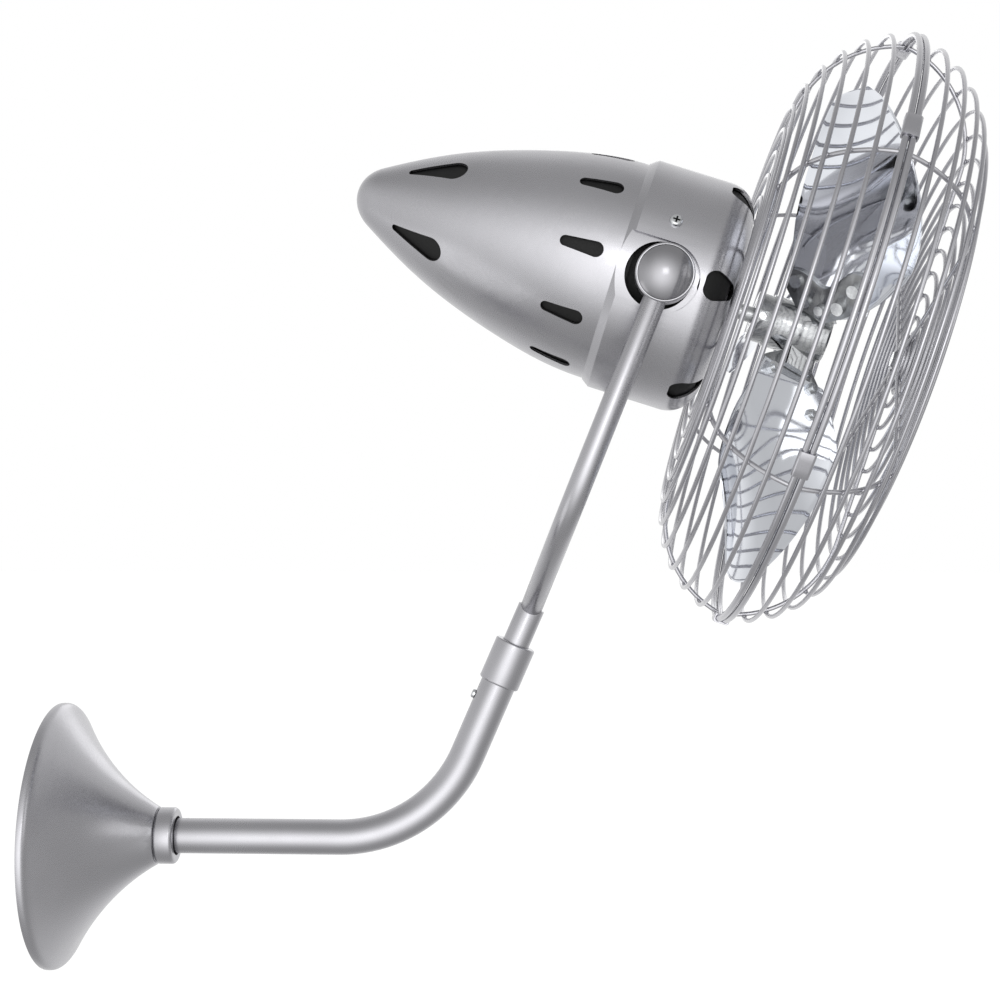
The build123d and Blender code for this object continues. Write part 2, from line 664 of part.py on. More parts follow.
with BuildPart() as front_shell:
    with BuildSketch(HEAD_SIDE):
        with BuildLine():
            Line((SEAM_A, 0), (SEAM_A, TAIL_R + 0.8))
            Line((SEAM_A, TAIL_R + 0.8), (SEAM_A + 5, HOUSING_R))
            Line((SEAM_A + 5, HOUSING_R), (bend_a, HOUSING_R))
            RadiusArc((bend_a, HOUSING_R), (HOUSING_FRONT, SHELL_FLAT_R), SHOULDER_R)
            Line((HOUSING_FRONT, SHELL_FLAT_R), (HOUSING_FRONT, 0))
            Line((HOUSING_FRONT, 0), (SEAM_A, 0))
        make_face()
    revolve(axis=HEAD_AXIS)
    for side in (1, -1):
        with BuildSketch(pivot_plane(side, flat_out)):
            side_flat(0)
        extrude(amount=SHOULDER_R, mode=Mode.SUBTRACT)
    add(shell_room.part, mode=Mode.SUBTRACT)
    for side in (1, -1):
        with BuildSketch(pivot_plane(side, flat_in - 2)):
            with Locations((-PIVOT_HOLE_BACK, 0)):
                Circle(PIVOT_HOLE_R)
        extrude(amount=FLAT_DEEP + 6, mode=Mode.SUBTRACT)
    for turn in range(VENTS):
        way = (spoke(turn * 360 / VENTS) + NOSE).normalized()
        reach = SHELL_FLAT_R + (SHOULDER_R - 14) * 0.7071
        spot = HEAD + NOSE * (reach + bend_a - SHELL_FLAT_R) + spoke(turn * 360 / VENTS) * reach
        with BuildSketch(Plane(origin=spot, x_dir=NOSE.cross(spoke(turn * 360 / VENTS)), z_dir=way)):
            with Locations((-3, -7.5), (3, -7.5)):
                Circle(6)
            with Locations((0, 5)):
                Circle(5)
            make_hull()
    extrude(amount=26, mode=Mode.SUBTRACT)
    with BuildSketch(HEAD_FACE.offset(HOUSING_FRONT - 5)):
        Circle(BEARING_R + 7)
        with PolarLocations(PLATE_HOLES_R, 4, start_angle=45):
            Circle(PLATE_SCREW_R)
    extrude(amount=8, mode=Mode.SUBTRACT)
    for turn in LUGS:
        with BuildSketch(seen_from(turn, lug_a, HOUSING_R - 6)):
            Circle(SHELL_SCREW_R)
        extrude(amount=10, mode=Mode.SUBTRACT)
front_shell.part.label = "front_shell"
export_step(front_shell.part, "parts/front_shell.step")

with BuildPart() as shell_screws:
    for turn in LUGS:
        with BuildSketch(seen_from(turn, lug_a, HOUSING_R - 0.1)):
            Circle(SHELL_HEAD_R)
        extrude(amount=SHELL_HEAD)
    heads = shell_screws.edges().filter_by(GeomType.CIRCLE)
    outer = heads.filter_by(lambda edge: (edge.center() - HEAD - NOSE * lug_a).length > HOUSING_R + 1)
    fillet(outer, SHELL_HEAD * 0.7)
    for turn in LUGS:
        with BuildSketch(seen_from(turn, lug_a, HOUSING_R + SHELL_HEAD / 2)):
            Rectangle(SHELL_HEAD_R * 1.1, CROSS_SLOT * 1.4)
            Rectangle(CROSS_SLOT * 1.4, SHELL_HEAD_R * 1.1)
        extrude(amount=3, mode=Mode.SUBTRACT)
    with BuildSketch(HEAD_FACE.offset(lug_a - 6)):
        Circle(HOUSING_R)
    extrude(amount=12, mode=Mode.SUBTRACT)
    for turn in LUGS:
        with BuildSketch(seen_from(turn, lug_a, HOUSING_R - 8)):
            Circle(SHELL_SCREW_R)
        extrude(amount=8.4)
shell_screws.part.label = "shell_screws"
export_step(shell_screws.part, "parts/shell_screws.step")

# ---------------------------------------------------------------- motor

with BuildPart() as motor_frame:
    with BuildSketch(HEAD_FACE.offset(BACK_A)):
        Circle(FRAME_R)
    extrude(amount=COVER_A - BACK_A)
    with BuildSketch(HEAD_FACE.offset(BACK_A + FRAME_FLOOR)):
        Circle(STATOR_R)
    extrude(amount=COVER_A - BACK_A, mode=Mode.SUBTRACT)
    with BuildSketch(HEAD_FACE.offset(BACK_A)):
        Circle(BEARING_R + BEARING_SEAT)
    extrude(amount=BEARING_W + 1)
    for side in (1, -1):
        with BuildSketch(pivot_plane(side, STATOR_R + 2)):
            Circle(PIVOT_BOSS_R)
        extrude(amount=BOSS_FACE - STATOR_R - 2)
    for turn in LUGS:
        with BuildSketch(seen_from(turn, lug_a, STATOR_R + 2)):
            Circle(4)
        extrude(amount=HOUSING_R - SHELL_WALL - STATOR_R - 2)
        with BuildSketch(seen_from(turn, lug_a, HOUSING_R - 8)):
            Circle(SHELL_SCREW_R)
        extrude(amount=12, mode=Mode.SUBTRACT)
    with BuildSketch(HEAD_FACE.offset(BACK_A)):
        Circle(BEARING_R)
        with PolarLocations((BEARING_R + STATOR_R) / 2 + 2, 6):
            Circle(7)
    extrude(amount=BEARING_W + 1, mode=Mode.SUBTRACT)
    for side in (1, -1):
        with BuildSketch(pivot_plane(side, FRAME_R - 1)):
            Circle(PIVOT_R + RUN_FIT)
        extrude(amount=BOSS_FACE - FRAME_R + 2, mode=Mode.SUBTRACT)
    with BuildSketch(HEAD_FACE.offset(COVER_A - 10)):
        with PolarLocations(COVER_HOLES_R, 4, start_angle=45):
            Circle(COVER_SCREW_R)
    extrude(amount=10, mode=Mode.SUBTRACT)
motor_frame.part.label = "motor_frame"
export_step(motor_frame.part, "parts/motor_frame.step")

with BuildPart() as motor_cover:
    with BuildSketch(HEAD_FACE.offset(COVER_A)):
        Circle(FRAME_R)
    extrude(amount=FRAME_FLOOR)
    with BuildSketch(HEAD_FACE.offset(COVER_A)):
        Circle(BEARING_R + BEARING_SEAT)
    extrude(amount=BEARING_W + 1)
    with BuildSketch(HEAD_FACE.offset(COVER_A)):
        with PolarLocations(PLATE_HOLES_R, 4, start_angle=45):
            Circle(4)
    extrude(amount=HOUSING_FRONT - SHELL_WALL - COVER_A)
    with BuildSketch(HEAD_FACE.offset(COVER_A)):
        Circle(BEARING_R)
        with PolarLocations(COVER_HOLES_R, 4, start_angle=45):
            Circle(COVER_SCREW_R)
        with PolarLocations(PLATE_HOLES_R, 4, start_angle=45):
            Circle(PLATE_SCREW_R)
    extrude(amount=HOUSING_FRONT - COVER_A, mode=Mode.SUBTRACT)
motor_cover.part.label = "motor_cover"
export_step(motor_cover.part, "parts/motor_cover.step")

with BuildPart() as cover_screws:
    with BuildSketch(HEAD_FACE.offset(COVER_A + FRAME_FLOOR)):
        with PolarLocations(COVER_HOLES_R, 4, start_angle=45):
            Circle(2.4)
    extrude(amount=2)
    with BuildSketch(HEAD_FACE.offset(COVER_A - 9)):
        with PolarLocations(COVER_HOLES_R, 4, start_angle=45):
            Circle(COVER_SCREW_R)
    extrude(amount=13)
cover_screws.part.label = "cover_screws"
export_step(cover_screws.part, "parts/cover_screws.step")

with BuildPart() as stator:
    with BuildSketch(HEAD_FACE.offset(STATOR_A)):
        Circle(STATOR_R)
        Circle(STATOR_BORE_R, mode=Mode.SUBTRACT)
        with PolarLocations((STATOR_R + STATOR_BORE_R) / 2 - 1, 12):
            SlotOverall(13, 6, mode=Mode.SUBTRACT)
    extrude(amount=STATOR_LEN)
stator.part.label = "stator"
export_step(stator.part, "parts/stator.step")

with BuildPart() as windings:
    for start in (STATOR_A - COIL_LEN, STATOR_A + STATOR_LEN):
        with BuildSketch(HEAD_FACE.offset(start)):
            Circle(STATOR_R - 4)
            Circle(STATOR_BORE_R + 3, mode=Mode.SUBTRACT)
        extrude(amount=COIL_LEN)
    fillet(windings.faces().sort_by(HEAD_AXIS)[0].edges(), 3)
    fillet(windings.faces().sort_by(HEAD_AXIS)[-1].edges(), 3)
windings.part.label = "windings"
export_step(windings.part, "parts/windings.step")

with BuildPart() as motor_bearings:
    for start in (BACK_A, COVER_A):
        with BuildSketch(HEAD_FACE.offset(start)):
            Circle(BEARING_R)
            Circle(SHAFT_R + RUN_FIT, mode=Mode.SUBTRACT)
        extrude(amount=BEARING_W)
motor_bearings.part.label = "motor_bearings"
export_step(motor_bearings.part, "parts/motor_bearings.step")

# ---------------------------------------------------------------- cage


def basket(flat_a, rim_a):
    """Middle lines of one cage half: arc centre, arc radius, full arc and its sense."""
    deep = abs(rim_a - flat_a)
    wide = RIM_R - CAGE_FLAT_R
    bend = (deep * deep + wide * wide) / (2 * deep)
    full = math.asin(wide / bend)
    sense = 1 if rim_a > flat_a else -1
    return flat_a + sense * bend, bend, full, sense


def ring_spots(flat_a, rim_a, smallest):
    """Axial place and radius of each ring, counted back from the rim."""
    middle, bend, full, sense = basket(flat_a, rim_a)
    spots = []
    step = 1
    while True:
        left = full - step * RING_STEP / bend
        if left > 0:
            spots.append((middle - sense * bend * math.cos(left), CAGE_FLAT_R + bend * math.sin(left)))
        else:
            spots.append((flat_a, CAGE_FLAT_R + bend * left))
        if spots[-1][1] < smallest:
            return spots[:-1]
        step += 1


def rib_run(angle, flat_a, rim_a, start):
    """Middle line of one rib, inside the rings."""
    middle, bend, full, sense = basket(flat_a, rim_a)
    tight = bend - CROSS
    begin = (flat_a + sense * CROSS, CAGE_FLAT_R)
    half = (middle - sense * tight * math.cos(full / 2), CAGE_FLAT_R + tight * math.sin(full / 2))
    end = (middle - sense * tight * math.cos(full), CAGE_FLAT_R + tight * math.sin(full))
    with BuildLine(across(angle)) as run:
        Line((begin[0], start), begin)
        ThreePointArc(begin, half, end)
    return run.line


rear_rim_a = RIM_A - RIM_WIRE_R - 0.1
front_rim_a = RIM_A + RIM_WIRE_R + 0.1
rear_spots = ring_spots(CAGE_REAR_A, rear_rim_a, SHELL_FLAT_R + 10)
front_spots = ring_spots(CAGE_FRONT_A, front_rim_a, CAP_R + 2 * WIRE_R)


def rib_wires(flat_a, rim_a, start):
    """The ribs of one cage half, as separate rods."""
    rods = []
    for rib in range(RIBS):
        angle = FIRST_RIB + rib * 360 / RIBS
        line = rib_run(angle, flat_a, rim_a, start)
        with BuildPart() as rod:
            with BuildSketch(Plane(origin=line @ 0, x_dir=NOSE, z_dir=spoke(angle))):
                Circle(WIRE_R)
            sweep(path=line)
        rods.append(rod.part)
    return rods


def ring_wires(spots, rim_a):
    """The rings of one cage half and its thicker rim."""
    hoops = []
    for a, radius in spots:
        with BuildPart(HEAD_FACE.offset(a)) as hoop:
            Torus(radius, WIRE_R)
        hoops.append(hoop.part)
    with BuildPart(HEAD_FACE.offset(rim_a)) as rim:
        Torus(RIM_R, RIM_WIRE_R)
    hoops.append(rim.part)
    return hoops


rear_ribs = rib_wires(CAGE_REAR_A, rear_rim_a, CAGE_PLATE_R - 12)
rear_rings = ring_wires(rear_spots, rear_rim_a)
with BuildPart() as guard_rear:
    with BuildSketch(HEAD_FACE.offset(HOUSING_FRONT)):
        Circle(CAGE_PLATE_R)
        Circle(BEARING_R + 7, mode=Mode.SUBTRACT)
        with PolarLocations(PLATE_HOLES_R, 4, start_angle=45):
            Circle(PLATE_SCREW_R, mode=Mode.SUBTRACT)
    extrude(amount=CAGE_PLATE_T)
    add(rear_ribs)
    add(rear_rings)
guard_rear.part.label = "guard_rear"
export_step(guard_rear.part, "parts/guard_rear.step")

cap_a = CAGE_FRONT_A + 1.0
front_ribs = rib_wires(CAGE_FRONT_A, front_rim_a, 12)
front_rings = ring_wires(front_spots, front_rim_a)
with BuildPart() as guard_front:
    with BuildSketch(HEAD_FACE.offset(cap_a - HUB_DISC_T)):
        Circle(HUB_DISC_R)
        Circle(CAP_BOLT_R, mode=Mode.SUBTRACT)
    extrude(amount=HUB_DISC_T)
    add(front_ribs)
    add(front_rings)
guard_front.part.label = "guard_front"
export_step(guard_front.part, "parts/guard_front.step")

with BuildPart() as guard_screws:
    with BuildSketch(HEAD_FACE.offset(HOUSING_FRONT + CAGE_PLATE_T)):
        with PolarLocations(PLATE_HOLES_R, 4, start_angle=45):
            Circle(PLATE_HEAD_R)
    extrude(amount=PLATE_HEAD)
    with BuildSketch(HEAD_FACE.offset(COVER_A + 1)):
        with PolarLocations(PLATE_HOLES_R, 4, start_angle=45):
            Circle(PLATE_SCREW_R)
    extrude(amount=HOUSING_FRONT + CAGE_PLATE_T - COVER_A - 1)
guard_screws.part.label = "guard_screws"
export_step(guard_screws.part, "parts/guard_screws.step")

clip_in = RIM_R - RIM_WIRE_R - CLIP_WALL
clip_out = RIM_R + RIM_WIRE_R + CLIP_WALL
clip_half = 2 * RIM_WIRE_R + 0.1 + CLIP_WALL
with BuildPart() as rim_clips:
    for rib in range(RIBS):
        angle = FIRST_RIB + rib * 360 / RIBS + CLIP_TURN
        with BuildSketch(across(angle)):
            with Locations((RIM_A, (clip_in + clip_out) / 2)):
                RectangleRounded(2 * clip_half, clip_out - clip_in, 1.8)
            with Locations((rear_rim_a, RIM_R), (front_rim_a, RIM_R)):
                Circle(RIM_WIRE_R, mode=Mode.SUBTRACT)
        revolve(axis=HEAD_AXIS, revolution_arc=CLIP_ARC)
rim_clips.part.label = "rim_clips"
export_step(rim_clips.part, "parts/rim_clips.step")

with BuildPart() as guard_cap:
    with BuildSketch(HEAD_FACE.offset(cap_a)):
        Circle(CAP_R)
    extrude(amount=CAP_DISC_T)
    fillet(guard_cap.faces().sort_by(HEAD_AXIS)[-1].edges(), CAP_DISC_T * 0.7)
    with BuildSketch(HEAD_FACE.offset(cap_a)):
        Circle(CAP_BOLT_R)
    extrude(amount=CAP_DISC_T, mode=Mode.SUBTRACT)
guard_cap.part.label = "guard_cap"
export_step(guard_cap.part, "parts/guard_cap.step")

nut_a = cap_a - HUB_DISC_T - CAP_NUT
with BuildPart() as guard_cap_bolt:
    with BuildSketch(HEAD_FACE.offset(cap_a + CAP_DISC_T)):
        Circle(2 * CAP_BOLT_R)
    extrude(amount=CAP_BOLT_R)
    fillet(guard_cap_bolt.faces().sort_by(HEAD_AXIS)[-1].edges(), CAP_BOLT_R * 0.65)
    with BuildSketch(HEAD_FACE.offset(nut_a)):
        RegularPolygon(CAP_BOLT_R * 1.8, 6)
    extrude(amount=CAP_NUT)
    with BuildSketch(HEAD_FACE.offset(nut_a)):
        Circle(CAP_BOLT_R)
    extrude(amount=cap_a + CAP_DISC_T - nut_a)
guard_cap_bolt.part.label = "guard_cap_bolt"
export_step(guard_cap_bolt.part, "parts/guard_cap_bolt.step")

# ---------------------------------------------------------------- fan wheel

shoulder = SHAFT_R + SHAFT_SHOULDER
inner_from = BACK_A + BEARING_W + 0.3
inner_len = COVER_A - 0.3 - inner_from
with BuildPart() as motor_shaft:
    with BuildSketch(HEAD_FACE.offset(BACK_A - 3)):
        Circle(SHAFT_R)
    extrude(amount=HUB_A + HUB_LEN - HUB_FRONT - BACK_A + 3)
    with BuildSketch(HEAD_FACE.offset(inner_from)):
        Circle(shoulder)
    extrude(amount=inner_len)
motor_shaft.part.label = "motor_shaft"
export_step(motor_shaft.part, "parts/motor_shaft.step")

with BuildPart() as rotor_core:
    with BuildSketch(HEAD_FACE.offset(STATOR_A)):
        Circle(STATOR_BORE_R - AIR_GAP)
        Circle(shoulder, mode=Mode.SUBTRACT)
    extrude(amount=STATOR_LEN)
rotor_core.part.label = "rotor_core"
export_step(rotor_core.part, "parts/rotor_core.step")


def chord_plane(angle, reach):
    """Plane square to one blade's spoke: x along the chord, y along the blade's back."""
    face = blade_plane(angle, BLADE_A, pitch_at(reach))
    return Plane(origin=face.origin + face.x_dir * reach, x_dir=face.y_dir, z_dir=face.x_dir)


hub_screw_a = HUB_A + HUB_NECK * 0.55
with BuildPart() as hub:
    with BuildSketch(HEAD_FACE.offset(HUB_A)):
        Circle(HUB_R)
    extrude(amount=HUB_NECK)
    with BuildSketch(HEAD_FACE.offset(HUB_A + HUB_NECK)):
        Circle(BARREL_R)
    extrude(amount=HUB_LEN - HUB_NECK)
    chamfer(hub.faces().sort_by(HEAD_AXIS)[-1].edges(), 1.5)
    for blade in range(BLADES):
        angle = FIRST_BLADE + blade * 360 / BLADES
        with BuildSketch(chord_plane(angle, 8)):
            with Locations((0, -CAMBER_R)):
                Circle(CAMBER_R + BLADE_T)
            with Locations((TAB_MID, -2.4)):
                Rectangle(20, 7.2 + BLADE_T, mode=Mode.INTERSECT)
        extrude(amount=BLADE_ROOT_R - 8.5)
        with BuildSketch(blade_plane(angle, BLADE_A).offset(-3)):
            with Locations(*TAB_HOLES):
                Circle(TAB_SCREW_R)
        extrude(amount=8, mode=Mode.SUBTRACT)
    with BuildSketch(HEAD_FACE.offset(HUB_A)):
        Circle(SHAFT_R)
    extrude(amount=HUB_LEN - HUB_FRONT, mode=Mode.SUBTRACT)
    with BuildSketch(seen_from(0, hub_screw_a, SHAFT_R - 2)):
        Circle(HUB_SCREW_R)
    extrude(amount=HUB_R, mode=Mode.SUBTRACT)
hub.part.label = "hub"
export_step(hub.part, "parts/hub.step")

with BuildPart() as hub_screw:
    with BuildSketch(seen_from(0, hub_screw_a, SHAFT_R)):
        Circle(HUB_SCREW_R)
    extrude(amount=HUB_R - SHAFT_R - 3)
    with BuildSketch(seen_from(0, hub_screw_a, HUB_R - 5)):
        RegularPolygon(1.4, 6)
    extrude(amount=3, mode=Mode.SUBTRACT)
hub_screw.part.label = "hub_screw"
export_step(hub_screw.part, "parts/hub_screw.step")


def blade_strip():
    """Section of a cambered strip a little wider than the petal cut from it."""
    with BuildSketch() as strip:
        with Locations((0, -CAMBER_R)):
            Circle(CAMBER_R + BLADE_T)
            Circle(CAMBER_R, mode=Mode.SUBTRACT)
        with Locations((BAND_MID, 0)):
            Rectangle(BAND_W, CAMBER_R / 3, mode=Mode.INTERSECT)
    return strip.sketch


def blade_block(angle):
    """One cambered and twisted petal blade."""
    lead_root = (BLADE_ROOT_R, ROOT_LEAD_C)
    trail_root = (BLADE_ROOT_R, ROOT_TRAIL_C)
    tip = (BLADE_TIP_R, BLADE_TIP_C)
    twist_end = BLADE_TIP_R * 1.1
    span = twist_end - TWIST_START - TWIST_ONSET
    reaches = [TWIST_START, TWIST_START + TWIST_ONSET / 2]
    reaches += [TWIST_START + TWIST_ONSET + span * step / 4 for step in range(5)]
    outline = blade_plane(angle, BLADE_A, OUTLINE_PITCH)
    with BuildPart() as blade:
        with BuildSketch(chord_plane(angle, 0)):
            add(blade_strip())
        extrude(amount=TWIST_START)
        for reach in reaches:
            with BuildSketch(chord_plane(angle, reach)):
                add(blade_strip())
        loft()
        with BuildSketch(outline.offset(-BAND_W / 2)):
            with BuildLine():
                Bezier(lead_root, (BLADE_TIP_R, 44), (BLADE_TIP_R * 0.75, 70), tip)
                Bezier(tip, (BLADE_TIP_R + 50, -100), (47, -52), trail_root)
                Line(trail_root, lead_root)
            make_face()
        extrude(amount=BAND_W, mode=Mode.INTERSECT)
        with BuildSketch(blade_plane(angle, BLADE_A).offset(-30)):
            with Locations(*BLADE_HOLES):
                Circle(BLADE_SCREW_R)
        extrude(amount=50, mode=Mode.SUBTRACT)
    return blade.part


upper_blade = blade_block(FIRST_BLADE)
with BuildPart() as blade_upper:
    add(upper_blade)
blade_upper.part.label = "blade_upper"
export_step(blade_upper.part, "parts/blade_upper.step")

far_blade = blade_block(FIRST_BLADE + 360 / BLADES)
with BuildPart() as blade_far:
    add(far_blade)
blade_far.part.label = "blade_far"
export_step(blade_far.part, "parts/blade_far.step")

lower_blade = blade_block(FIRST_BLADE + 720 / BLADES)
with BuildPart() as blade_lower:
    add(lower_blade)
blade_lower.part.label = "blade_lower"
export_step(blade_lower.part, "parts/blade_lower.step")


def iron_block(angle):
    """One sheet bracket behind the root of a blade."""
    face = blade_plane(angle, BLADE_A)
    foot = BARREL_R + 0.5
    with BuildPart() as iron:
        with BuildSketch(face.offset(-20)):
            with BuildLine():
                Line((foot, -19), (foot, 3))
                Bezier((foot, 3), (24, 12), (26, 17), (32, 17))
                Bezier((32, 17), (41.5, 17), (41.5, 2), (38, -6))
                Bezier((38, -6), (36, -18), (50, -14), (57, -24))
                Bezier((57, -24), (62, -34), (52, -40), (41.5, -38))
                Bezier((41.5, -38), (32, -36), (26, -28), (foot, -19))
            make_face()
        extrude(amount=40)
        with BuildSketch(chord_plane(angle, 0)):
            with Locations((0, -CAMBER_R)):
                Circle(CAMBER_R + BLADE_T + IRON_T)
                Circle(CAMBER_R + BLADE_T, mode=Mode.SUBTRACT)
        extrude(amount=BLADE_TIP_R, mode=Mode.INTERSECT)
        with BuildSketch(face.offset(-10)):
            with Locations(*BLADE_HOLES):
                Circle(BLADE_SCREW_R)
            with Locations(*TAB_HOLES):
                Circle(TAB_SCREW_R)
        extrude(amount=20, mode=Mode.SUBTRACT)
    return iron.part


irons = [iron_block(FIRST_BLADE + turn * 360 / BLADES) for turn in range(BLADES)]
with BuildPart() as blade_irons:
    add(irons)
blade_irons.part.label = "blade_irons"
export_step(blade_irons.part, "parts/blade_irons.step")


def screw_block(angle, spots, radius, low):
    """Pan heads on the back of a bracket with shanks down to a depth."""
    face = blade_plane(angle, BLADE_A)
    with BuildPart() as screws:
        with BuildSketch(face):
            with Locations(*spots):
                Circle(radius * 2)
        extrude(amount=BLADE_T + IRON_T + radius * 1.1)
        with BuildSketch(chord_plane(angle, 0)):
            with Locations((0, -CAMBER_R)):
                Circle(CAMBER_R + BLADE_T + IRON_T)
        extrude(amount=BLADE_TIP_R, mode=Mode.SUBTRACT)
        with BuildSketch(face.offset(low)):
            with Locations(*spots):
                Circle(radius)
        extrude(amount=BLADE_T + IRON_T + 1 - low)
    return screws.part


def nut_block(angle, spots, radius):
    """Hex nuts on the front of a blade."""
    face = blade_plane(angle, BLADE_A)
    with BuildPart() as nuts:
        with BuildSketch(face.offset(-3.4)):
            with Locations(*spots):
                RegularPolygon(radius * 1.9, 6)
        extrude(amount=6)
        with BuildSketch(chord_plane(angle, 0)):
            with Locations((0, -CAMBER_R)):
                Circle(CAMBER_R)
        extrude(amount=BLADE_TIP_R, mode=Mode.INTERSECT)
        with BuildSketch(face.offset(-5)):
            with Locations(*spots):
                Circle(radius, mode=Mode.ADD)
        extrude(amount=10, mode=Mode.SUBTRACT)
    return nuts.part


turns = [FIRST_BLADE + turn * 360 / BLADES for turn in range(BLADES)]
blade_pins = [screw_block(turn, BLADE_HOLES, BLADE_SCREW_R, -6) for turn in turns]
with BuildPart() as blade_screws:
    add(blade_pins)
blade_screws.part.label = "blade_screws"
export_step(blade_screws.part, "parts/blade_screws.step")

hex_nuts = [nut_block(turn, BLADE_HOLES, BLADE_SCREW_R) for turn in turns]
with BuildPart() as blade_nuts:
    add(hex_nuts)
blade_nuts.part.label = "blade_nuts"
export_step(blade_nuts.part, "parts/blade_nuts.step")

iron_pins = [screw_block(turn, TAB_HOLES, TAB_SCREW_R, -2.8) for turn in turns]
with BuildPart() as iron_screws:
    add(iron_pins)
iron_screws.part.label = "iron_screws"
export_step(iron_screws.part, "parts/iron_screws.step")
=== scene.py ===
import math

import bpy
from mathutils import Matrix, Vector


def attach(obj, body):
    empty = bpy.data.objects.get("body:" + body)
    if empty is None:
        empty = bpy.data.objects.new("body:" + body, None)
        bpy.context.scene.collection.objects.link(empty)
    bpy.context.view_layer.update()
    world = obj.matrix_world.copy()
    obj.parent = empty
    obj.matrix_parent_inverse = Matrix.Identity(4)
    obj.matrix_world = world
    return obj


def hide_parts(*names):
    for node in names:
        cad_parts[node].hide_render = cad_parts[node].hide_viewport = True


bl_info = {
    "name": "Wall fan",
    "version": (1, 0, 0),
    "blender": (4, 5, 0),
    "location": "View3D > Sidebar > Wall fan",
    "description": "Dresses a wall mounted cage fan: finishes, cage wires, fan wheel and a studio",
    "category": "Object",
}

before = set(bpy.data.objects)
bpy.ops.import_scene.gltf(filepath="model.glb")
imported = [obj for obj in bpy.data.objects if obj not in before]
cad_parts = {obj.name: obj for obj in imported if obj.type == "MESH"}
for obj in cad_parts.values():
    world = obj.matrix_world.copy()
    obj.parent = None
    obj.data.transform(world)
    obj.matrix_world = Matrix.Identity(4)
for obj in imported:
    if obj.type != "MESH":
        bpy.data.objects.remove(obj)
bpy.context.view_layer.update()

# The head frame: x to the crown, y to the viewer's side, z out of the nose.
TILT = math.radians(17.8)
NOSE = Vector((math.cos(TILT), 0, -math.sin(TILT)))
CROWN = Vector((math.sin(TILT), 0, math.cos(TILT)))
NEAR = Vector((0, -1, 0))
HEAD = Vector((0.35947, 0, 0.35831))
HEAD_PLACE = Matrix.Translation(HEAD) @ Matrix((CROWN, NEAR, NOSE)).transposed().to_4x4()
FULL_TURN = 2 * math.pi


# ---------------------------------------------------------------- settings


class FanSizes(bpy.types.PropertyGroup):
    """Sizes of the modelled pieces"""

    wire_radius: bpy.props.FloatProperty(
        name="Cage wire radius", description="Half the thickness of a cage ring or rib",
        default=0.0014, min=0.0005, unit="LENGTH")
    rim_wire_radius: bpy.props.FloatProperty(
        name="Rim wire radius", description="Half the thickness of the two rim wires",
        default=0.0019, min=0.0005, unit="LENGTH")
    rim_radius: bpy.props.FloatProperty(
        name="Rim radius", description="Radius of the cage rim at the middle of its wire",
        default=0.1882, unit="LENGTH")
    ring_step: bpy.props.FloatProperty(
        name="Ring spacing", description="Distance from one cage ring to the next along a rib",
        default=0.0144, min=0.004, unit="LENGTH")
    rib_overlap: bpy.props.FloatProperty(
        name="Ring to rib distance", description="Distance between the middles of a ring and a rib",
        default=0.0026, unit="LENGTH")
    ribs: bpy.props.IntProperty(
        name="Ribs", description="Number of ribs in each cage half", default=6, min=3)
    first_rib: bpy.props.FloatProperty(
        name="First rib", description="Turn of the first rib up from the viewer's side",
        default=math.radians(26.5), subtype="ANGLE")
    blade_tip: bpy.props.FloatProperty(
        name="Blade tip radius", description="Distance from the shaft to a blade's tip",
        default=0.154, unit="LENGTH")
    blade_thickness: bpy.props.FloatProperty(
        name="Blade thickness", description="Thickness of the blade sheet",
        default=0.0012, unit="LENGTH")
    edge_round: bpy.props.FloatProperty(
        name="Edge rounding", description="Radius that softens the edges of turned and cast pieces",
        default=0.0004, unit="LENGTH")


class FanFinishes(bpy.types.PropertyGroup):
    """Colours of the finishes"""

    nickel: bpy.props.FloatVectorProperty(
        name="Satin nickel", description="Colour of the housing, arm and canopy",
        subtype="COLOR", size=3, min=0, max=1, default=(0.457, 0.454, 0.476))
    wire: bpy.props.FloatVectorProperty(
        name="Cage wire", description="Colour of the plated cage wire",
        subtype="COLOR", size=3, min=0, max=1, default=(0.478, 0.476, 0.502))
    chrome: bpy.props.FloatVectorProperty(
        name="Polished chrome", description="Colour of the blades",
        subtype="COLOR", size=3, min=0, max=1, default=(0.90, 0.925, 0.98))
    steel: bpy.props.FloatVectorProperty(
        name="Zinc steel", description="Colour of plates, brackets and hardware",
        subtype="COLOR", size=3, min=0, max=1, default=(0.52, 0.53, 0.54))
    # The motor castings are near-black, darkened further to paint the shade inside the housing seen
    # through the vents.
    casting_and_shade: bpy.props.FloatVectorProperty(
        name="Casting", description="Colour of the motor castings",
        subtype="COLOR", size=3, min=0, max=1, default=(0.014, 0.014, 0.015))
    copper: bpy.props.FloatVectorProperty(
        name="Copper", description="Colour of the motor windings",
        subtype="COLOR", size=3, min=0, max=1, default=(0.40, 0.14, 0.06))
    plastic: bpy.props.FloatVectorProperty(
        name="Black plastic", description="Colour of bushings and washers",
        subtype="COLOR", size=3, min=0, max=1, default=(0.02, 0.02, 0.021))
    floor: bpy.props.FloatVectorProperty(
        name="Floor", description="Colour of the studio floor",
        subtype="COLOR", size=3, min=0, max=1, default=(0.86, 0.86, 0.86))


def sizes():
    """Sizes set in the panel"""
    return bpy.context.scene.fan_sizes


def finishes():
    """Colours set in the panel"""
    return bpy.context.scene.fan_finishes


# ---------------------------------------------------------------- finishes

# Values between which noise lies nearly everywhere.
NOISE_LOW = 0.3
NOISE_HIGH = 0.7


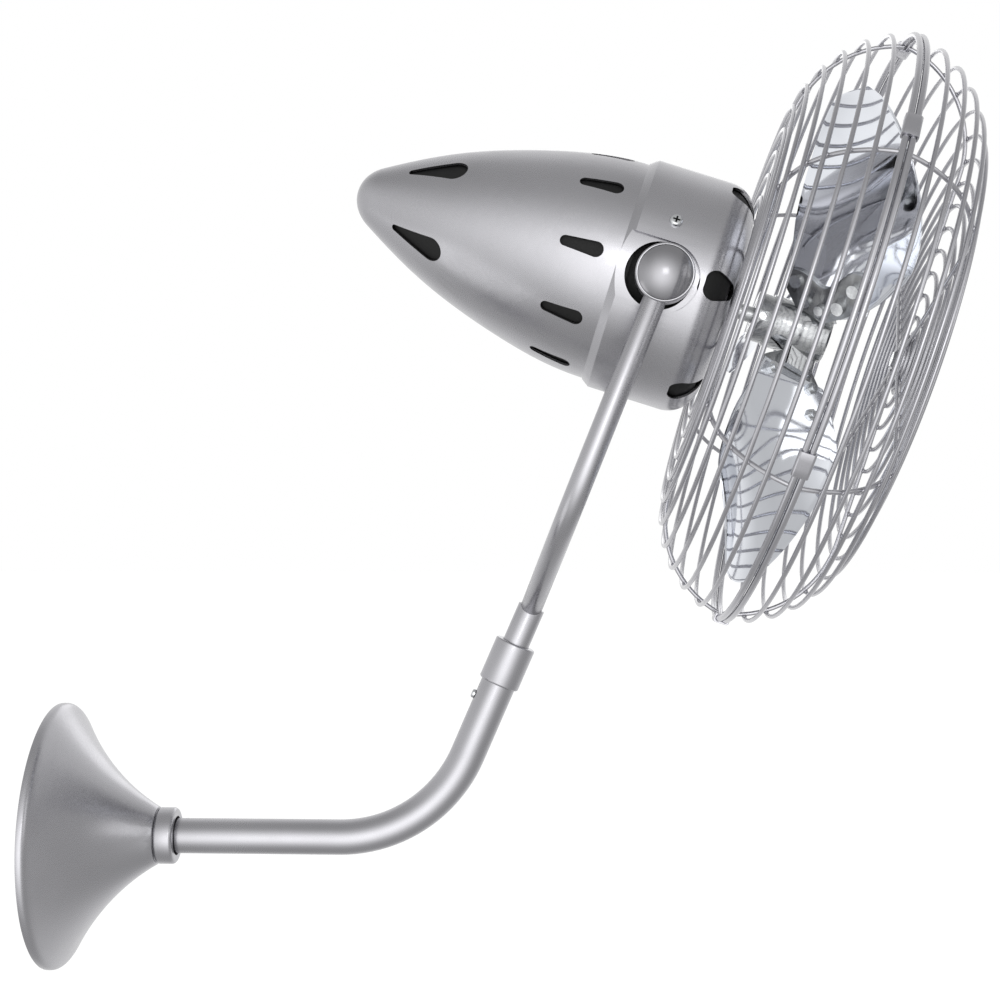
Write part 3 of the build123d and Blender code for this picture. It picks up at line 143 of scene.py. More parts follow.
class Shader:
    """A material under construction: its principled shader and a few ways to feed it"""

    def __init__(self, name):
        self.material = bpy.data.materials.get(name) or bpy.data.materials.new(name)
        self.material.use_nodes = True
        self.tree = self.material.node_tree
        self.tree.nodes.clear()
        self.principled = self.tree.nodes.new("ShaderNodeBsdfPrincipled")
        out = self.tree.nodes.new("ShaderNodeOutputMaterial")
        self.tree.links.new(self.principled.outputs["BSDF"], out.inputs["Surface"])
        self.coordinates = self.tree.nodes.new("ShaderNodeTexCoord")

    def set(self, **values):
        for socket, value in values.items():
            self.principled.inputs[socket.replace("_", " ")].default_value = value

    def link(self, source, target):
        self.tree.links.new(source, target)

    def mapped(self, scale=(1, 1, 1), turn=(0, 0, 0)):
        mapping = self.tree.nodes.new("ShaderNodeMapping")
        mapping.inputs["Scale"].default_value = scale
        mapping.inputs["Rotation"].default_value = turn
        self.link(self.coordinates.outputs["Object"], mapping.inputs["Vector"])
        return mapping.outputs["Vector"]

    def noise(self, scale, detail=2, stretch=(1, 1, 1), turn=(0, 0, 0)):
        noise = self.tree.nodes.new("ShaderNodeTexNoise")
        noise.inputs["Scale"].default_value = scale
        noise.inputs["Detail"].default_value = detail
        self.link(self.mapped(stretch, turn), noise.inputs["Vector"])
        return noise.outputs["Fac"]

    def span(self, value, low, high):
        node = self.tree.nodes.new("ShaderNodeMapRange")
        node.inputs["From Min"].default_value = NOISE_LOW
        node.inputs["From Max"].default_value = NOISE_HIGH
        node.inputs["To Min"].default_value = low
        node.inputs["To Max"].default_value = high
        self.link(value, node.inputs["Value"])
        return node.outputs["Result"]

    def mix(self, factor, one, two):
        node = self.tree.nodes.new("ShaderNodeMix")
        node.data_type = "RGBA"
        node.inputs[6].default_value = (*one, 1)
        node.inputs[7].default_value = (*two, 1)
        self.link(factor, node.inputs[0])
        return node.outputs[2]

    def bump(self, height, distance, strength):
        node = self.tree.nodes.new("ShaderNodeBump")
        node.inputs["Strength"].default_value = strength
        node.inputs["Distance"].default_value = distance
        self.link(height, node.inputs["Height"])
        return node.outputs["Normal"]


def tint(colour, factor):
    """Lighter or darker colour"""
    return tuple(channel * factor for channel in colour)


def satin_nickel(name, colour, roughness=0.27):
    """Fine blasted and lacquered nickel: soft sparkle, faint clouding and smears"""
    shader = Shader(name)
    shader.set(Metallic=1.0, IOR=1.5)
    cloud = shader.noise(14, 3)
    shader.link(shader.mix(shader.span(cloud, 0, 1), tint(colour, 0.95), tint(colour, 1.04)),
                shader.principled.inputs["Base Color"])
    speck = shader.noise(2600, 2)
    smear = shader.noise(60, 4)
    rough = shader.tree.nodes.new("ShaderNodeMath")
    rough.operation = "ADD"
    shader.link(shader.span(speck, roughness - 0.05, roughness + 0.05), rough.inputs[0])
    shader.link(shader.span(smear, -0.02, 0.03), rough.inputs[1])
    shader.link(rough.outputs[0], shader.principled.inputs["Roughness"])
    shader.link(shader.bump(speck, 0.000006, 0.6), shader.principled.inputs["Normal"])
    return shader.material


def polished_chrome(name, colour, dull=0.0, wave_height=0.0006):
    """Mirror plate with the slight wave of pressed sheet and faint wiping marks"""
    shader = Shader(name)
    shader.set(Metallic=1.0)
    cloud = shader.noise(22, 2)
    shader.link(shader.mix(shader.span(cloud, 0, 1), tint(colour, 0.97), colour),
                shader.principled.inputs["Base Color"])
    wipe = shader.noise(90, 5, (1, 1, 0.2))
    shader.link(shader.span(wipe, 0.035 + dull, 0.10 + dull), shader.principled.inputs["Roughness"])
    wave = shader.noise(26, 1)
    shader.link(shader.bump(wave, wave_height, 0.5), shader.principled.inputs["Normal"])
    return shader.material


def rolled_steel(name, colour, roughness=0.26):
    """Zinc plated sheet: fine rolling lines, cloudy crystals and small scratches"""
    shader = Shader(name)
    shader.set(Metallic=1.0)
    cloud = shader.noise(180, 4)
    shader.link(shader.mix(shader.span(cloud, 0, 1), tint(colour, 0.80), tint(colour, 1.12)),
                shader.principled.inputs["Base Color"])
    line = shader.noise(900, 3, (1, 0.06, 1), (0.3, 0.2, 0.9))
    shader.link(shader.span(line, roughness - 0.08, roughness + 0.12),
                shader.principled.inputs["Roughness"])
    shader.link(shader.bump(line, 0.00003, 0.5), shader.principled.inputs["Normal"])
    return shader.material


def turned_steel(name, colour, roughness=0.13):
    """Bright machined steel with fine tool marks"""
    shader = Shader(name)
    shader.set(Metallic=1.0)
    mark = shader.noise(700, 1, (0.05, 1, 1), (0, TILT, 0))
    shader.link(shader.mix(shader.span(mark, 0, 1), tint(colour, 0.93), tint(colour, 1.05)),
                shader.principled.inputs["Base Color"])
    shader.link(shader.span(shader.noise(300, 3), roughness - 0.04, roughness + 0.06),
                shader.principled.inputs["Roughness"])
    shader.link(shader.bump(mark, 0.000002, 0.4), shader.principled.inputs["Normal"])
    return shader.material


def cast_metal(name, colour):
    """Painted casting with a sandy skin"""
    shader = Shader(name)
    shader.set(Metallic=0.2)
    sand = shader.noise(1400, 4)
    shader.link(shader.mix(shader.span(sand, 0, 1), tint(colour, 0.8), tint(colour, 1.25)),
                shader.principled.inputs["Base Color"])
    shader.link(shader.span(sand, 0.55, 0.72), shader.principled.inputs["Roughness"])
    shader.link(shader.bump(sand, 0.0002, 0.7), shader.principled.inputs["Normal"])
    return shader.material


def stacked_plates(name, colour):
    """Laminated motor core: thin plates stacked along the head axis"""
    shader = Shader(name)
    shader.set(Metallic=0.8)
    wave = shader.tree.nodes.new("ShaderNodeTexWave")
    wave.bands_direction = "X"
    wave.inputs["Scale"].default_value = 320
    wave.inputs["Distortion"].default_value = 0.3
    shader.link(shader.mapped((1, 1, 1), (0, TILT, 0)), wave.inputs["Vector"])
    shader.link(shader.mix(wave.outputs["Fac"], tint(colour, 0.5), colour),
                shader.principled.inputs["Base Color"])
    shader.link(shader.span(shader.noise(400, 3), 0.4, 0.6), shader.principled.inputs["Roughness"])
    shader.link(shader.bump(wave.outputs["Fac"], 0.0002, 0.6), shader.principled.inputs["Normal"])
    return shader.material


def wound_copper(name, colour):
    """Lacquered winding wire laid side by side"""
    shader = Shader(name)
    shader.set(Metallic=0.7)
    wave = shader.tree.nodes.new("ShaderNodeTexWave")
    wave.wave_type = "RINGS"
    wave.inputs["Scale"].default_value = 420
    wave.inputs["Distortion"].default_value = 1.5
    shader.link(shader.mapped(), wave.inputs["Vector"])
    shader.link(shader.mix(wave.outputs["Fac"], tint(colour, 0.45), colour),
                shader.principled.inputs["Base Color"])
    shader.set(Roughness=0.35)
    shader.link(shader.bump(wave.outputs["Fac"], 0.0003, 0.8), shader.principled.inputs["Normal"])
    return shader.material


def moulded_plastic(name, colour):
    """Black moulding with a fine eroded texture"""
    shader = Shader(name)
    grain = shader.noise(2200, 3)
    shader.link(shader.mix(shader.span(grain, 0, 1), tint(colour, 0.8), tint(colour, 1.3)),
                shader.principled.inputs["Base Color"])
    shader.link(shader.span(grain, 0.42, 0.6), shader.principled.inputs["Roughness"])
    shader.link(shader.bump(grain, 0.00008, 0.6), shader.principled.inputs["Normal"])
    return shader.material


def finish_for(slot):
    """The material of one slot, made once"""
    name = slot + "_finish"
    if name in bpy.data.materials:
        return bpy.data.materials[name]
    colours = finishes()
    makers = {
        "satin_nickel": lambda: satin_nickel(name, colours.nickel),
        "cage_wire": lambda: satin_nickel(name, colours.wire, 0.21),
        "polished_chrome": lambda: polished_chrome(name, colours.chrome),
        "zinc_steel": lambda: rolled_steel(name, colours.steel),
        "pressed_chrome": lambda: polished_chrome(name, tint(colours.steel, 0.62), 0.14, 0.00005),
        # Painted shade: a near-black copy of the casting colour for inner faces, skirts, screw
        # recesses and the sheet behind the vents.
        "painted_shade": lambda: cast_metal(name, tint(colours.casting_and_shade, 0.12)),
        "bright_screw": lambda: turned_steel(name, tint(colours.steel, 1.2)),
        "cap_nickel": lambda: satin_nickel(name, tint(colours.nickel, 0.74), 0.20),
        "hub_chrome": lambda: turned_steel(name, tint(colours.steel, 0.9), 0.10),
        "ground_steel": lambda: turned_steel(name, colours.steel, 0.22),
        # Near-black castings, partly painted shade inside the housing.
        "cast_housing": lambda: cast_metal(name, colours.casting_and_shade),
        "core_plates": lambda: stacked_plates(name, (0.10, 0.10, 0.105)),
        "coil_copper": lambda: wound_copper(name, colours.copper),
        "black_plastic": lambda: moulded_plastic(name, colours.plastic),
    }
    return makers[slot]()


# ---------------------------------------------------------------- modelling helpers

MERGE_GAP = 1e-6
# An edge is sharp above this many degrees: on screws and thin plates, on turned pieces, on
# wires, sheets of painted shade and eased edges, and on blades.
CRISP = 30
TURNED_EDGE = 35
ROUND_EDGE = 40
BLADE_EDGE = 50
# How squarely a normal faces the side on a shell's side flat.
PAD_FACING = 0.999


def alone(obj):
    """Makes obj the only selected and active object"""
    bpy.ops.object.select_all(action="DESELECT")
    obj.select_set(True)
    bpy.context.view_layer.objects.active = obj


def fresh(name):
    """Names the object that an operator has just added"""
    obj = bpy.context.active_object
    obj.name = name
    obj.data.name = name
    return obj


def joined(name, objects):
    """Joins the objects into one"""
    bpy.ops.object.select_all(action="DESELECT")
    for obj in objects:
        obj.select_set(True)
    bpy.context.view_layer.objects.active = objects[0]
    bpy.ops.object.join()
    whole = fresh(name)
    settle(whole)
    return whole


def apply_all(obj):
    """Applies every modifier of obj"""
    alone(obj)
    for modifier in list(obj.modifiers):
        bpy.ops.object.modifier_apply(modifier=modifier.name)


def settle(obj):
    """Moves the object's place into its mesh"""
    obj.data.transform(obj.matrix_basis)
    obj.matrix_basis = Matrix.Identity(4)


def outward(obj):
    """Merges doubles and turns every face outwards"""
    alone(obj)
    bpy.ops.object.mode_set(mode="EDIT")
    bpy.ops.mesh.select_all(action="SELECT")
    bpy.ops.mesh.remove_doubles(threshold=MERGE_GAP)
    bpy.ops.mesh.normals_make_consistent(inside=False)
    bpy.ops.object.mode_set(mode="OBJECT")


def smooth(obj, degrees):
    """Smooth shading, except over edges sharper than the angle"""
    alone(obj)
    bpy.ops.object.shade_smooth_by_angle(angle=math.radians(degrees))


def ease_edges(obj, width, segments, degrees=CRISP):
    """Adds a small bevel along the sharp edges"""
    bevel = obj.modifiers.new("edge", "BEVEL")
    bevel.width = width
    bevel.segments = segments
    bevel.limit_method = "ANGLE"
    bevel.angle_limit = math.radians(degrees)


def cylinder(name, radius, deep, place, sides):
    """Round blank that is cut or bevelled before it is used"""
    bpy.ops.object.select_all(action="DESELECT")
    bpy.ops.mesh.primitive_cylinder_add(vertices=sides, radius=radius, depth=deep, location=place)
    return fresh(name)


def fit(obj, body, slot, nodes=(), look=None):
    """Gives a finished piece its material, its body and the nodes it stands for"""
    obj.data.materials.clear()
    obj.data.materials.append(finish_for(look or slot))
    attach(obj, body)
    if nodes:
        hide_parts(*nodes)


def pad_normal(place, normal):
    """Normal of a shell's side flat, eased into the round skin beside it"""
    out = place - HEAD - NOSE * (place - HEAD).dot(NOSE)
    if abs(normal.y) < PAD_FACING or out.y * normal.y < 0:
        return normal
    return out.normalized()


def skin(node, body, slot, look=None, rounding=0.0, angle=TURNED_EDGE, exact=False):
    """Merged copy of a CAD node, with softened edges or with the CAD's exact normals"""
    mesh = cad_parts[node].data.copy()
    obj = bpy.data.objects.new(node + "_skin", mesh)
    bpy.context.scene.collection.objects.link(obj)
    normals = [corner.vector.copy() for corner in mesh.corner_normals]
    if mesh.has_custom_normals:
        alone(obj)
        bpy.ops.mesh.customdata_custom_splitnormals_clear()
    alone(obj)
    bpy.ops.object.mode_set(mode="EDIT")
    bpy.ops.mesh.select_all(action="SELECT")
    bpy.ops.mesh.remove_doubles(threshold=MERGE_GAP)
    bpy.ops.object.mode_set(mode="OBJECT")
    if exact and len(normals) == len(mesh.loops):
        mesh.shade_smooth()
        places = [mesh.vertices[loop.vertex_index].co for loop in mesh.loops]
        mesh.normals_split_custom_set([pad_normal(*pair) for pair in zip(places, normals)])
        fit(obj, body, slot, [node], look)
        return obj
    if rounding > 0:
        ease_edges(obj, rounding, 2, ROUND_EDGE)
        apply_all(obj)
    smooth(obj, angle)
    fit(obj, body, slot, [node], look)
    return obj


# ---------------------------------------------------------------- painted shade inside the housing

# Stretch of the head axis that the inner faces of the shells look at; faces that look in get
# painted shade.
SHELL_CORE = (-0.030, 0.030)
LOOKS_IN = -0.35
# The sheet of painted shade behind the vents: its gap to the shell, thickness, stations along the
# axis and steps round.
SHADE_SHEET_GAP = 0.0008
SHADE_SHEET_T = 0.0006
SHADE_SHEET_STATIONS = 16
SHADE_SHEET_STEPS = 72
BORE_RAYS = 36
# The cross recess of a shell screw, painted in shade: its floor's radius, depth range and reach
# from the middle.
RECESS_FLOOR = 0.0753
RECESS_BELOW = 0.0006
RECESS_ABOVE = 0.0001
RECESS_REACH = 0.0024
RECESS_WALL = 0.3


def paint_shade_inside(obj, skirt_a):
    """Painted shade: near-black finish on a shell's inner faces and on its skirt inside the other
    shell
    """
    obj.data.materials.append(finish_for("painted_shade"))
    for face in obj.data.polygons:
        along = (face.center - HEAD).dot(NOSE)
        nearest = HEAD + NOSE * min(max(along, SHELL_CORE[0]), SHELL_CORE[1])
        # Painted shade on the skirt and on the faces that look in towards the axis.
        if along > skirt_a or face.normal.dot((face.center - nearest).normalized()) < LOOKS_IN:
            face.material_index = 1


def paint_shade_in_recess(obj):
    """Painted shade: near-black finish on the floor and walls of the cross recess in each shell
    screw
    """
    obj.data.materials.append(finish_for("painted_shade"))
    screws = {}
    for face in obj.data.polygons:
        place = face.center - HEAD
        screws.setdefault((place.dot(CROWN) > 0, place.dot(NEAR) > 0), []).append(face)
    for faces in screws.values():
        middle = sum((face.center - HEAD for face in faces), Vector()) / len(faces)
        out = (middle - NOSE * middle.dot(NOSE)).normalized()
        for face in faces:
            place = face.center - HEAD
            height = place.dot(out)
            aside = place - NOSE * middle.dot(NOSE) - out * height
            inside = height > RECESS_FLOOR - RECESS_BELOW and aside.length < RECESS_REACH
            on_floor = height < RECESS_FLOOR + RECESS_ABOVE
            # Painted shade on the recess floor and on its walls.
            if inside and (on_floor or face.normal.dot(out) < RECESS_WALL):
                face.material_index = 1


def bore_radius(shell, a):
    """Smallest inner radius of a shell at one place along the head axis"""
    reaches = []
    for step in range(BORE_RAYS):
        turn = step * FULL_TURN / BORE_RAYS
        way = CROWN * math.cos(turn) + NEAR * math.sin(turn)
        hit, place, _, _ = shell.ray_cast(HEAD + NOSE * a, way)
        if hit:
            reaches.append((place - HEAD - NOSE * a).length)
    return min(reaches)


def shade_sheet(shell, name, first_a, last_a):
    """Thin near-black sheet of painted shade that closes the view through the vents of a shell"""
    outer = []
    for index in range(SHADE_SHEET_STATIONS + 1):
        a = first_a + (last_a - first_a) * index / SHADE_SHEET_STATIONS
        outer.append((bore_radius(shell, a) - SHADE_SHEET_GAP, a))
    inner = [(radius - SHADE_SHEET_T, a) for radius, a in reversed(outer)]
    bpy.ops.object.select_all(action="DESELECT")
    bpy.ops.mesh.primitive_circle_add(
        vertices=len(outer) + len(inner), radius=1, fill_type="NOTHING")
    sheet = fresh(name)
    for vertex, (radius, a) in zip(sheet.data.vertices, outer + inner):
        vertex.co = (radius, 0, a)
    bpy.ops.object.mode_set(mode="EDIT")
    bpy.ops.mesh.select_all(action="SELECT")
    bpy.ops.mesh.spin(
        steps=SHADE_SHEET_STEPS, angle=FULL_TURN, center=(0, 0, 0), axis=(0, 0, 1), dupli=False)
    bpy.ops.object.mode_set(mode="OBJECT")
    outward(sheet)
    sheet.data.transform(HEAD_PLACE)
    smooth(sheet, ROUND_EDGE)
    # Near-black painted shade, which stands in for the shade inside the housing.
    fit(sheet, "head", "cast_housing", look="painted_shade")


# ---------------------------------------------------------------- cage

# Names in _A are places along the head axis, those in _R radii and those in _T thicknesses.
CAGE_FLAT_R = 0.120
REAR_FLAT_A = 0.0702
FRONT_FLAT_A = 0.186
RIM_A = 0.1273
RIM_GAP = 0.0001
REAR_RINGS_FROM_R = 0.064
FRONT_RINGS_FROM_R = 0.024
REAR_RIBS_FROM_R = 0.036
FRONT_RIBS_FROM_R = 0.012
WIRE_SIDES = 12
RING_STEPS = 144
RIB_STEPS = 20
WELD_SWELL = 1.28
WELD_FLATNESS = (1, 0.95, 0.55)
PLATE_FACE_A = 0.070
PLATE_T = 0.0015
PLATE_R = 0.048
PLATE_BORE_R = 0.020
PLATE_HOLES_R = 0.038
PLATE_HOLE_R = 0.0021
PLATE_HOLE_TURNS = (45, 135, 225, 315)
PLATE_ROUND = 0.0003
CUT_DEEP = 0.01
DISC_R = 0.018
DISC_T = 0.0043
DISC_A = FRONT_FLAT_A - 0.00115
DISC_ROUND = 0.0006


def basket(flat_a, rim_a):
    """Rim arc of one cage half: its middle, radius, full arc and sense along the axis"""
    deep = abs(rim_a - flat_a)
    wide = sizes().rim_radius - CAGE_FLAT_R
    bend = (deep * deep + wide * wide) / (2 * deep)
    sense = 1 if rim_a > flat_a else -1
    return flat_a + sense * bend, bend, math.asin(wide / bend), sense


def ring_places(flat_a, rim_a, smallest):
    """Axial place and radius of each ring, counted back from the rim"""
    middle, bend, full, sense = basket(flat_a, rim_a)
    places = []
    step = 1
    while True:
        left = full - step * sizes().ring_step / bend
        if left > 0:
            place = (middle - sense * bend * math.cos(left), CAGE_FLAT_R + bend * math.sin(left))
        else:
            place = (flat_a, CAGE_FLAT_R + bend * left)
        if place[1] < smallest:
            return places
        places.append(place)
        step += 1


def wire_ring(a, radius, thick):
    """One ring of the cage"""
    bpy.ops.object.select_all(action="DESELECT")
    bpy.ops.mesh.primitive_torus_add(
        location=(0, 0, a), major_radius=radius, minor_radius=thick,
        major_segments=RING_STEPS, minor_segments=WIRE_SIDES)
    return fresh("ring")


def wire_rib(flat_a, rim_a, start):
    """One rib: a wire end spun round the rim arc and drawn straight to the middle"""
    middle, _, full, sense = basket(flat_a, rim_a)
    bpy.ops.object.select_all(action="DESELECT")
    bpy.ops.mesh.primitive_circle_add(
        vertices=WIRE_SIDES, radius=sizes().wire_radius, fill_type="NGON",
        location=(start, 0, flat_a + sense * sizes().rib_overlap), rotation=(0, math.pi / 2, 0))
    rib = fresh("rib")
    bpy.ops.object.mode_set(mode="EDIT")
    bpy.ops.mesh.select_all(action="SELECT")
    bpy.ops.mesh.extrude_region_move(
        TRANSFORM_OT_translate={"value": (CAGE_FLAT_R - start, 0, 0)})
    bpy.ops.mesh.spin(
        steps=RIB_STEPS, angle=sense * full, center=(CAGE_FLAT_R, 0, middle), axis=(0, 1, 0),
        dupli=False)
    bpy.ops.object.mode_set(mode="OBJECT")
    settle(rib)
    outward(rib)
    return rib


def turned(obj, angle):
    """Copy of obj with its own mesh, turned about the head axis"""
    copy = obj.copy()
    copy.data = obj.data.copy()
    bpy.context.scene.collection.objects.link(copy)
    copy.data.transform(Matrix.Rotation(angle, 4, "Z"))
    return copy


def rib_turns():
    """Turns of the ribs about the head axis, from the crown"""
    count = sizes().ribs
    return [math.pi / 2 - sizes().first_rib - index * FULL_TURN / count for index in range(count)]


def weld_spots(flat_a, rim_a, places):
    """Small pressed welds where a rib crosses its rings"""
    _, bend, _, sense = basket(flat_a, rim_a)
    inset = sizes().rib_overlap / 2
    spots = []
    for a, radius in places:
        slope = math.asin(min(1, max(0, (radius - CAGE_FLAT_R) / bend)))
        bpy.ops.object.select_all(action="DESELECT")
        bpy.ops.mesh.primitive_ico_sphere_add(
            subdivisions=2, radius=sizes().wire_radius * WELD_SWELL,
            location=(radius - inset * math.sin(slope), 0, a + sense * inset * math.cos(slope)),
            rotation=(0, -sense * slope, 0), scale=WELD_FLATNESS)
        spot = fresh("weld")
        settle(spot)
        spots.append(spot)
    return joined("welds", spots)


def all_round(obj):
    """The piece repeated at every rib"""
    copies = [turned(obj, angle) for angle in rib_turns()]
    bpy.data.objects.remove(obj)
    return copies


def guard_plate():
    """Pressed plate that bolts the cage to the housing"""
    plate = cylinder("plate", PLATE_R, PLATE_T, (0, 0, PLATE_FACE_A + PLATE_T / 2), 96)
    cutters = []
    for angle in PLATE_HOLE_TURNS:
        x = PLATE_HOLES_R * math.cos(math.radians(angle))
        y = PLATE_HOLES_R * math.sin(math.radians(angle))
        cutters.append(cylinder("cutter", PLATE_HOLE_R, CUT_DEEP, (x, y, PLATE_FACE_A), 24))
    cutters.append(cylinder("cutter", PLATE_BORE_R, CUT_DEEP, (0, 0, PLATE_FACE_A), 64))
    cutter = joined("cutter", cutters)
    cut = plate.modifiers.new("cut", "BOOLEAN")
    cut.object = cutter
    cut.solver = "EXACT"
    ease_edges(plate, PLATE_ROUND, 2)
    apply_all(plate)
    bpy.data.objects.remove(cutter)
    settle(plate)
    return plate


def front_disc():
    """Disc in the middle of the front guard, under the cap"""
    disc = cylinder("disc", DISC_R, DISC_T, (0, 0, DISC_A), 64)
    ease_edges(disc, DISC_ROUND, 3)
    apply_all(disc)
    settle(disc)
    return disc


def cage_half(node, flat_a, rim_a, rings_from, ribs_from, middle_piece):
    """Rings, rim wire, ribs and welds of one half, joined to the piece in its middle"""
    places = ring_places(flat_a, rim_a, rings_from)
    parts = [wire_ring(a, radius, sizes().wire_radius) for a, radius in places]
    parts.append(wire_ring(rim_a, sizes().rim_radius, sizes().rim_wire_radius))
    parts += all_round(wire_rib(flat_a, rim_a, ribs_from))
    parts += all_round(weld_spots(flat_a, rim_a, places))
    parts.append(middle_piece())
    guard = joined(node + "_wires", parts)
    guard.data.transform(HEAD_PLACE)
    smooth(guard, ROUND_EDGE)
    fit(guard, "head", "satin_nickel", [node], "cage_wire")


class FAN_OT_guard_rear(bpy.types.Operator):
    """Rear half of the cage: plate, rings, ribs and welds"""

    bl_idname = "fan.guard_rear"
    bl_label = "Rear guard"

    def execute(self, context):
        rim_a = RIM_A - sizes().rim_wire_radius - RIM_GAP
        cage_half(
            "guard_rear", REAR_FLAT_A, rim_a, REAR_RINGS_FROM_R, REAR_RIBS_FROM_R, guard_plate)
        return {"FINISHED"}


class FAN_OT_guard_front(bpy.types.Operator):
    """Front half of the cage: middle disc, rings, ribs and welds"""

    bl_idname = "fan.guard_front"
    bl_label = "Front guard"

    def execute(self, context):
        rim_a = RIM_A + sizes().rim_wire_radius + RIM_GAP
        cage_half(
            "guard_front", FRONT_FLAT_A, rim_a, FRONT_RINGS_FROM_R, FRONT_RIBS_FROM_R, front_disc)
        return {"FINISHED"}


# ---------------------------------------------------------------- fan wheel

BLADE_A = 0.115
BLADE_ROOT_R = 0.028
# Degrees up from the viewer's side.
FIRST_BLADE = 50
BLADE_PITCH = math.radians(62)
OUTLINE_PITCH = math.radians(45)
TWIST_START = 0.060
TWIST_ONSET = 0.015
TWIST_RATE = math.radians(488)
CAMBER_R = 0.210
CAMBER_ROUNDS = 6
BLADE_GRID = (40, 26)
# Above 1 this draws the rows of the grid together at the tip.
TIP_CROWDING = 1.6
# Edge rounding as a share of the sheet's thickness.
BLADE_ROUND = 0.35
BLADE_NODES = ("blade_upper", "blade_far", "blade_lower")


def pitch_at(reach):
    """Pitch of a blade: steep at its bracket, flatter by the twist further out"""
    past = max(0, reach - TWIST_START)
    onset = min(past, TWIST_ONSET)
    return BLADE_PITCH - TWIST_RATE * (onset ** 2 / (2 * TWIST_ONSET) + past - onset)


def blade_place(angle):
    """Matrix of one blade: x out along its spoke, y along its chord, z to the tail"""
    phi = math.radians(angle)
    spoke = NEAR * math.cos(phi) + CROWN * math.sin(phi)
    around = -NOSE.cross(spoke)
    chord = around * math.cos(OUTLINE_PITCH) - NOSE * math.sin(OUTLINE_PITCH)
    back = spoke.cross(chord)
    turn = Matrix((spoke, chord, back)).transposed().to_4x4()
    return Matrix.Translation(HEAD + NOSE * BLADE_A) @ turn


def sheet_point(reach, over):
    """Place on the cambered and twisted sheet behind one point of the outline"""
    lean = pitch_at(reach) - OUTLINE_PITCH
    chord = over
    for _ in range(CAMBER_ROUNDS):
        lift = math.sqrt(CAMBER_R ** 2 - chord ** 2) - CAMBER_R + sizes().blade_thickness / 2
        chord = (over + lift * math.sin(lean)) / math.cos(lean)
    return Vector((reach, over, chord * math.sin(lean) + lift * math.cos(lean)))


def bezier(points, t):
    """Point of a curve through its first and last point, drawn towards the other two"""
    a, b, c, d = (Vector(p) for p in points)
    s = 1 - t
    return a * s ** 3 + b * 3 * s * s * t + c * 3 * s * t * t + d * t ** 3


def blade_edges(t):
    """Leading and trailing edge of the petal at a share of its length"""
    tip = sizes().blade_tip
    lead = bezier([(BLADE_ROOT_R, 0.014), (tip, 0.044), (tip * 0.75, 0.070), (tip, 0.027)], t)
    trail = bezier(
        [(BLADE_ROOT_R, -0.030), (0.047, -0.052), (tip + 0.050, -0.100), (tip, 0.027)], t)
    return lead, trail


def blade_sheet(name):
    """One cambered and twisted petal, shaped from a grid"""
    bpy.ops.object.select_all(action="DESELECT")
    bpy.ops.mesh.primitive_grid_add(
        x_subdivisions=BLADE_GRID[0], y_subdivisions=BLADE_GRID[1], size=1)
    blade = fresh(name)
    for vertex in blade.data.vertices:
        along = vertex.co.x + 0.5
        over = vertex.co.y + 0.5
        lead, trail = blade_edges(1 - (1 - along) ** TIP_CROWDING)
        place = trail.lerp(lead, over)
        vertex.co = sheet_point(place.x, place.y)
    outward(blade)
    wall = blade.modifiers.new("wall", "SOLIDIFY")
    wall.thickness = sizes().blade_thickness
    wall.offset = 0
    ease_edges(blade, sizes().blade_thickness * BLADE_ROUND, 3, BLADE_EDGE)
    apply_all(blade)
    return blade


class FAN_OT_blades(bpy.types.Operator):
    """Three polished petal blades"""

    bl_idname = "fan.blades"
    bl_label = "Blades"

    def execute(self, context):
        for index, node in enumerate(BLADE_NODES):
            blade = blade_sheet(node + "_petal")
            blade.data.transform(blade_place(FIRST_BLADE + index * 360 / len(BLADE_NODES)))
            smooth(blade, BLADE_EDGE)
            fit(blade, "rotor", "polished_chrome", [node])
        return {"FINISHED"}


# ---------------------------------------------------------------- other pieces

# Each shell: where its sheet of painted shade starts and ends, and where its skirt starts, if it
# has one.
SHELLS = (("tail_shell", -0.160, -0.004, 0.0005), ("front_shell", 0.044, 0.066, 1.0))


class FAN_OT_housing(bpy.types.Operator):
    """Bullet shaped housing shells with painted shade inside and behind the vents, their screws,
    and the cage's clips and cap
    """

    bl_idname = "fan.housing"
    bl_label = "Housing"

    def execute(self, context):
        soft = sizes().edge_round
        for node, first_a, last_a, skirt_a in SHELLS:
            shell = skin(node, "head", "satin_nickel", exact=True)
            # Painted shade: a near-black sheet behind the vents, and near-black inner faces and
            # skirt.
            shade_sheet(shell, node + "_lining", first_a, last_a)
            paint_shade_inside(shell, skirt_a)
        # Painted shade in the cross recess of each shell screw.
        paint_shade_in_recess(skin("shell_screws", "head", "bright_screw", angle=CRISP))
        skin("rim_clips", "head", "satin_nickel", look="cage_wire", rounding=soft)
        skin("guard_screws", "head", "bright_screw", angle=CRISP)
        skin("guard_cap", "head", "satin_nickel", angle=CRISP)
        skin("guard_cap_bolt", "head", "bright_screw", angle=CRISP)
        return {"FINISHED"}


class FAN_OT_wheel_hub(bpy.types.Operator):
    """Turned hub, brackets and their fasteners"""

    bl_idname = "fan.wheel_hub"
    bl_label = "Wheel hub"

    def execute(self, context):
        soft = sizes().edge_round
        skin("hub", "rotor", "bright_screw", look="hub_chrome", rounding=soft)
        skin("blade_irons", "rotor", "zinc_steel", look="pressed_chrome", rounding=soft)
        for node in ("blade_screws", "blade_nuts", "iron_screws"):
            skin(node, "rotor", "bright_screw", angle=CRISP)
        skin("motor_shaft", "rotor", "ground_steel", angle=CRISP)
        skin("hub_screw", "rotor", "bright_screw", angle=CRISP)
        return {"FINISHED"}


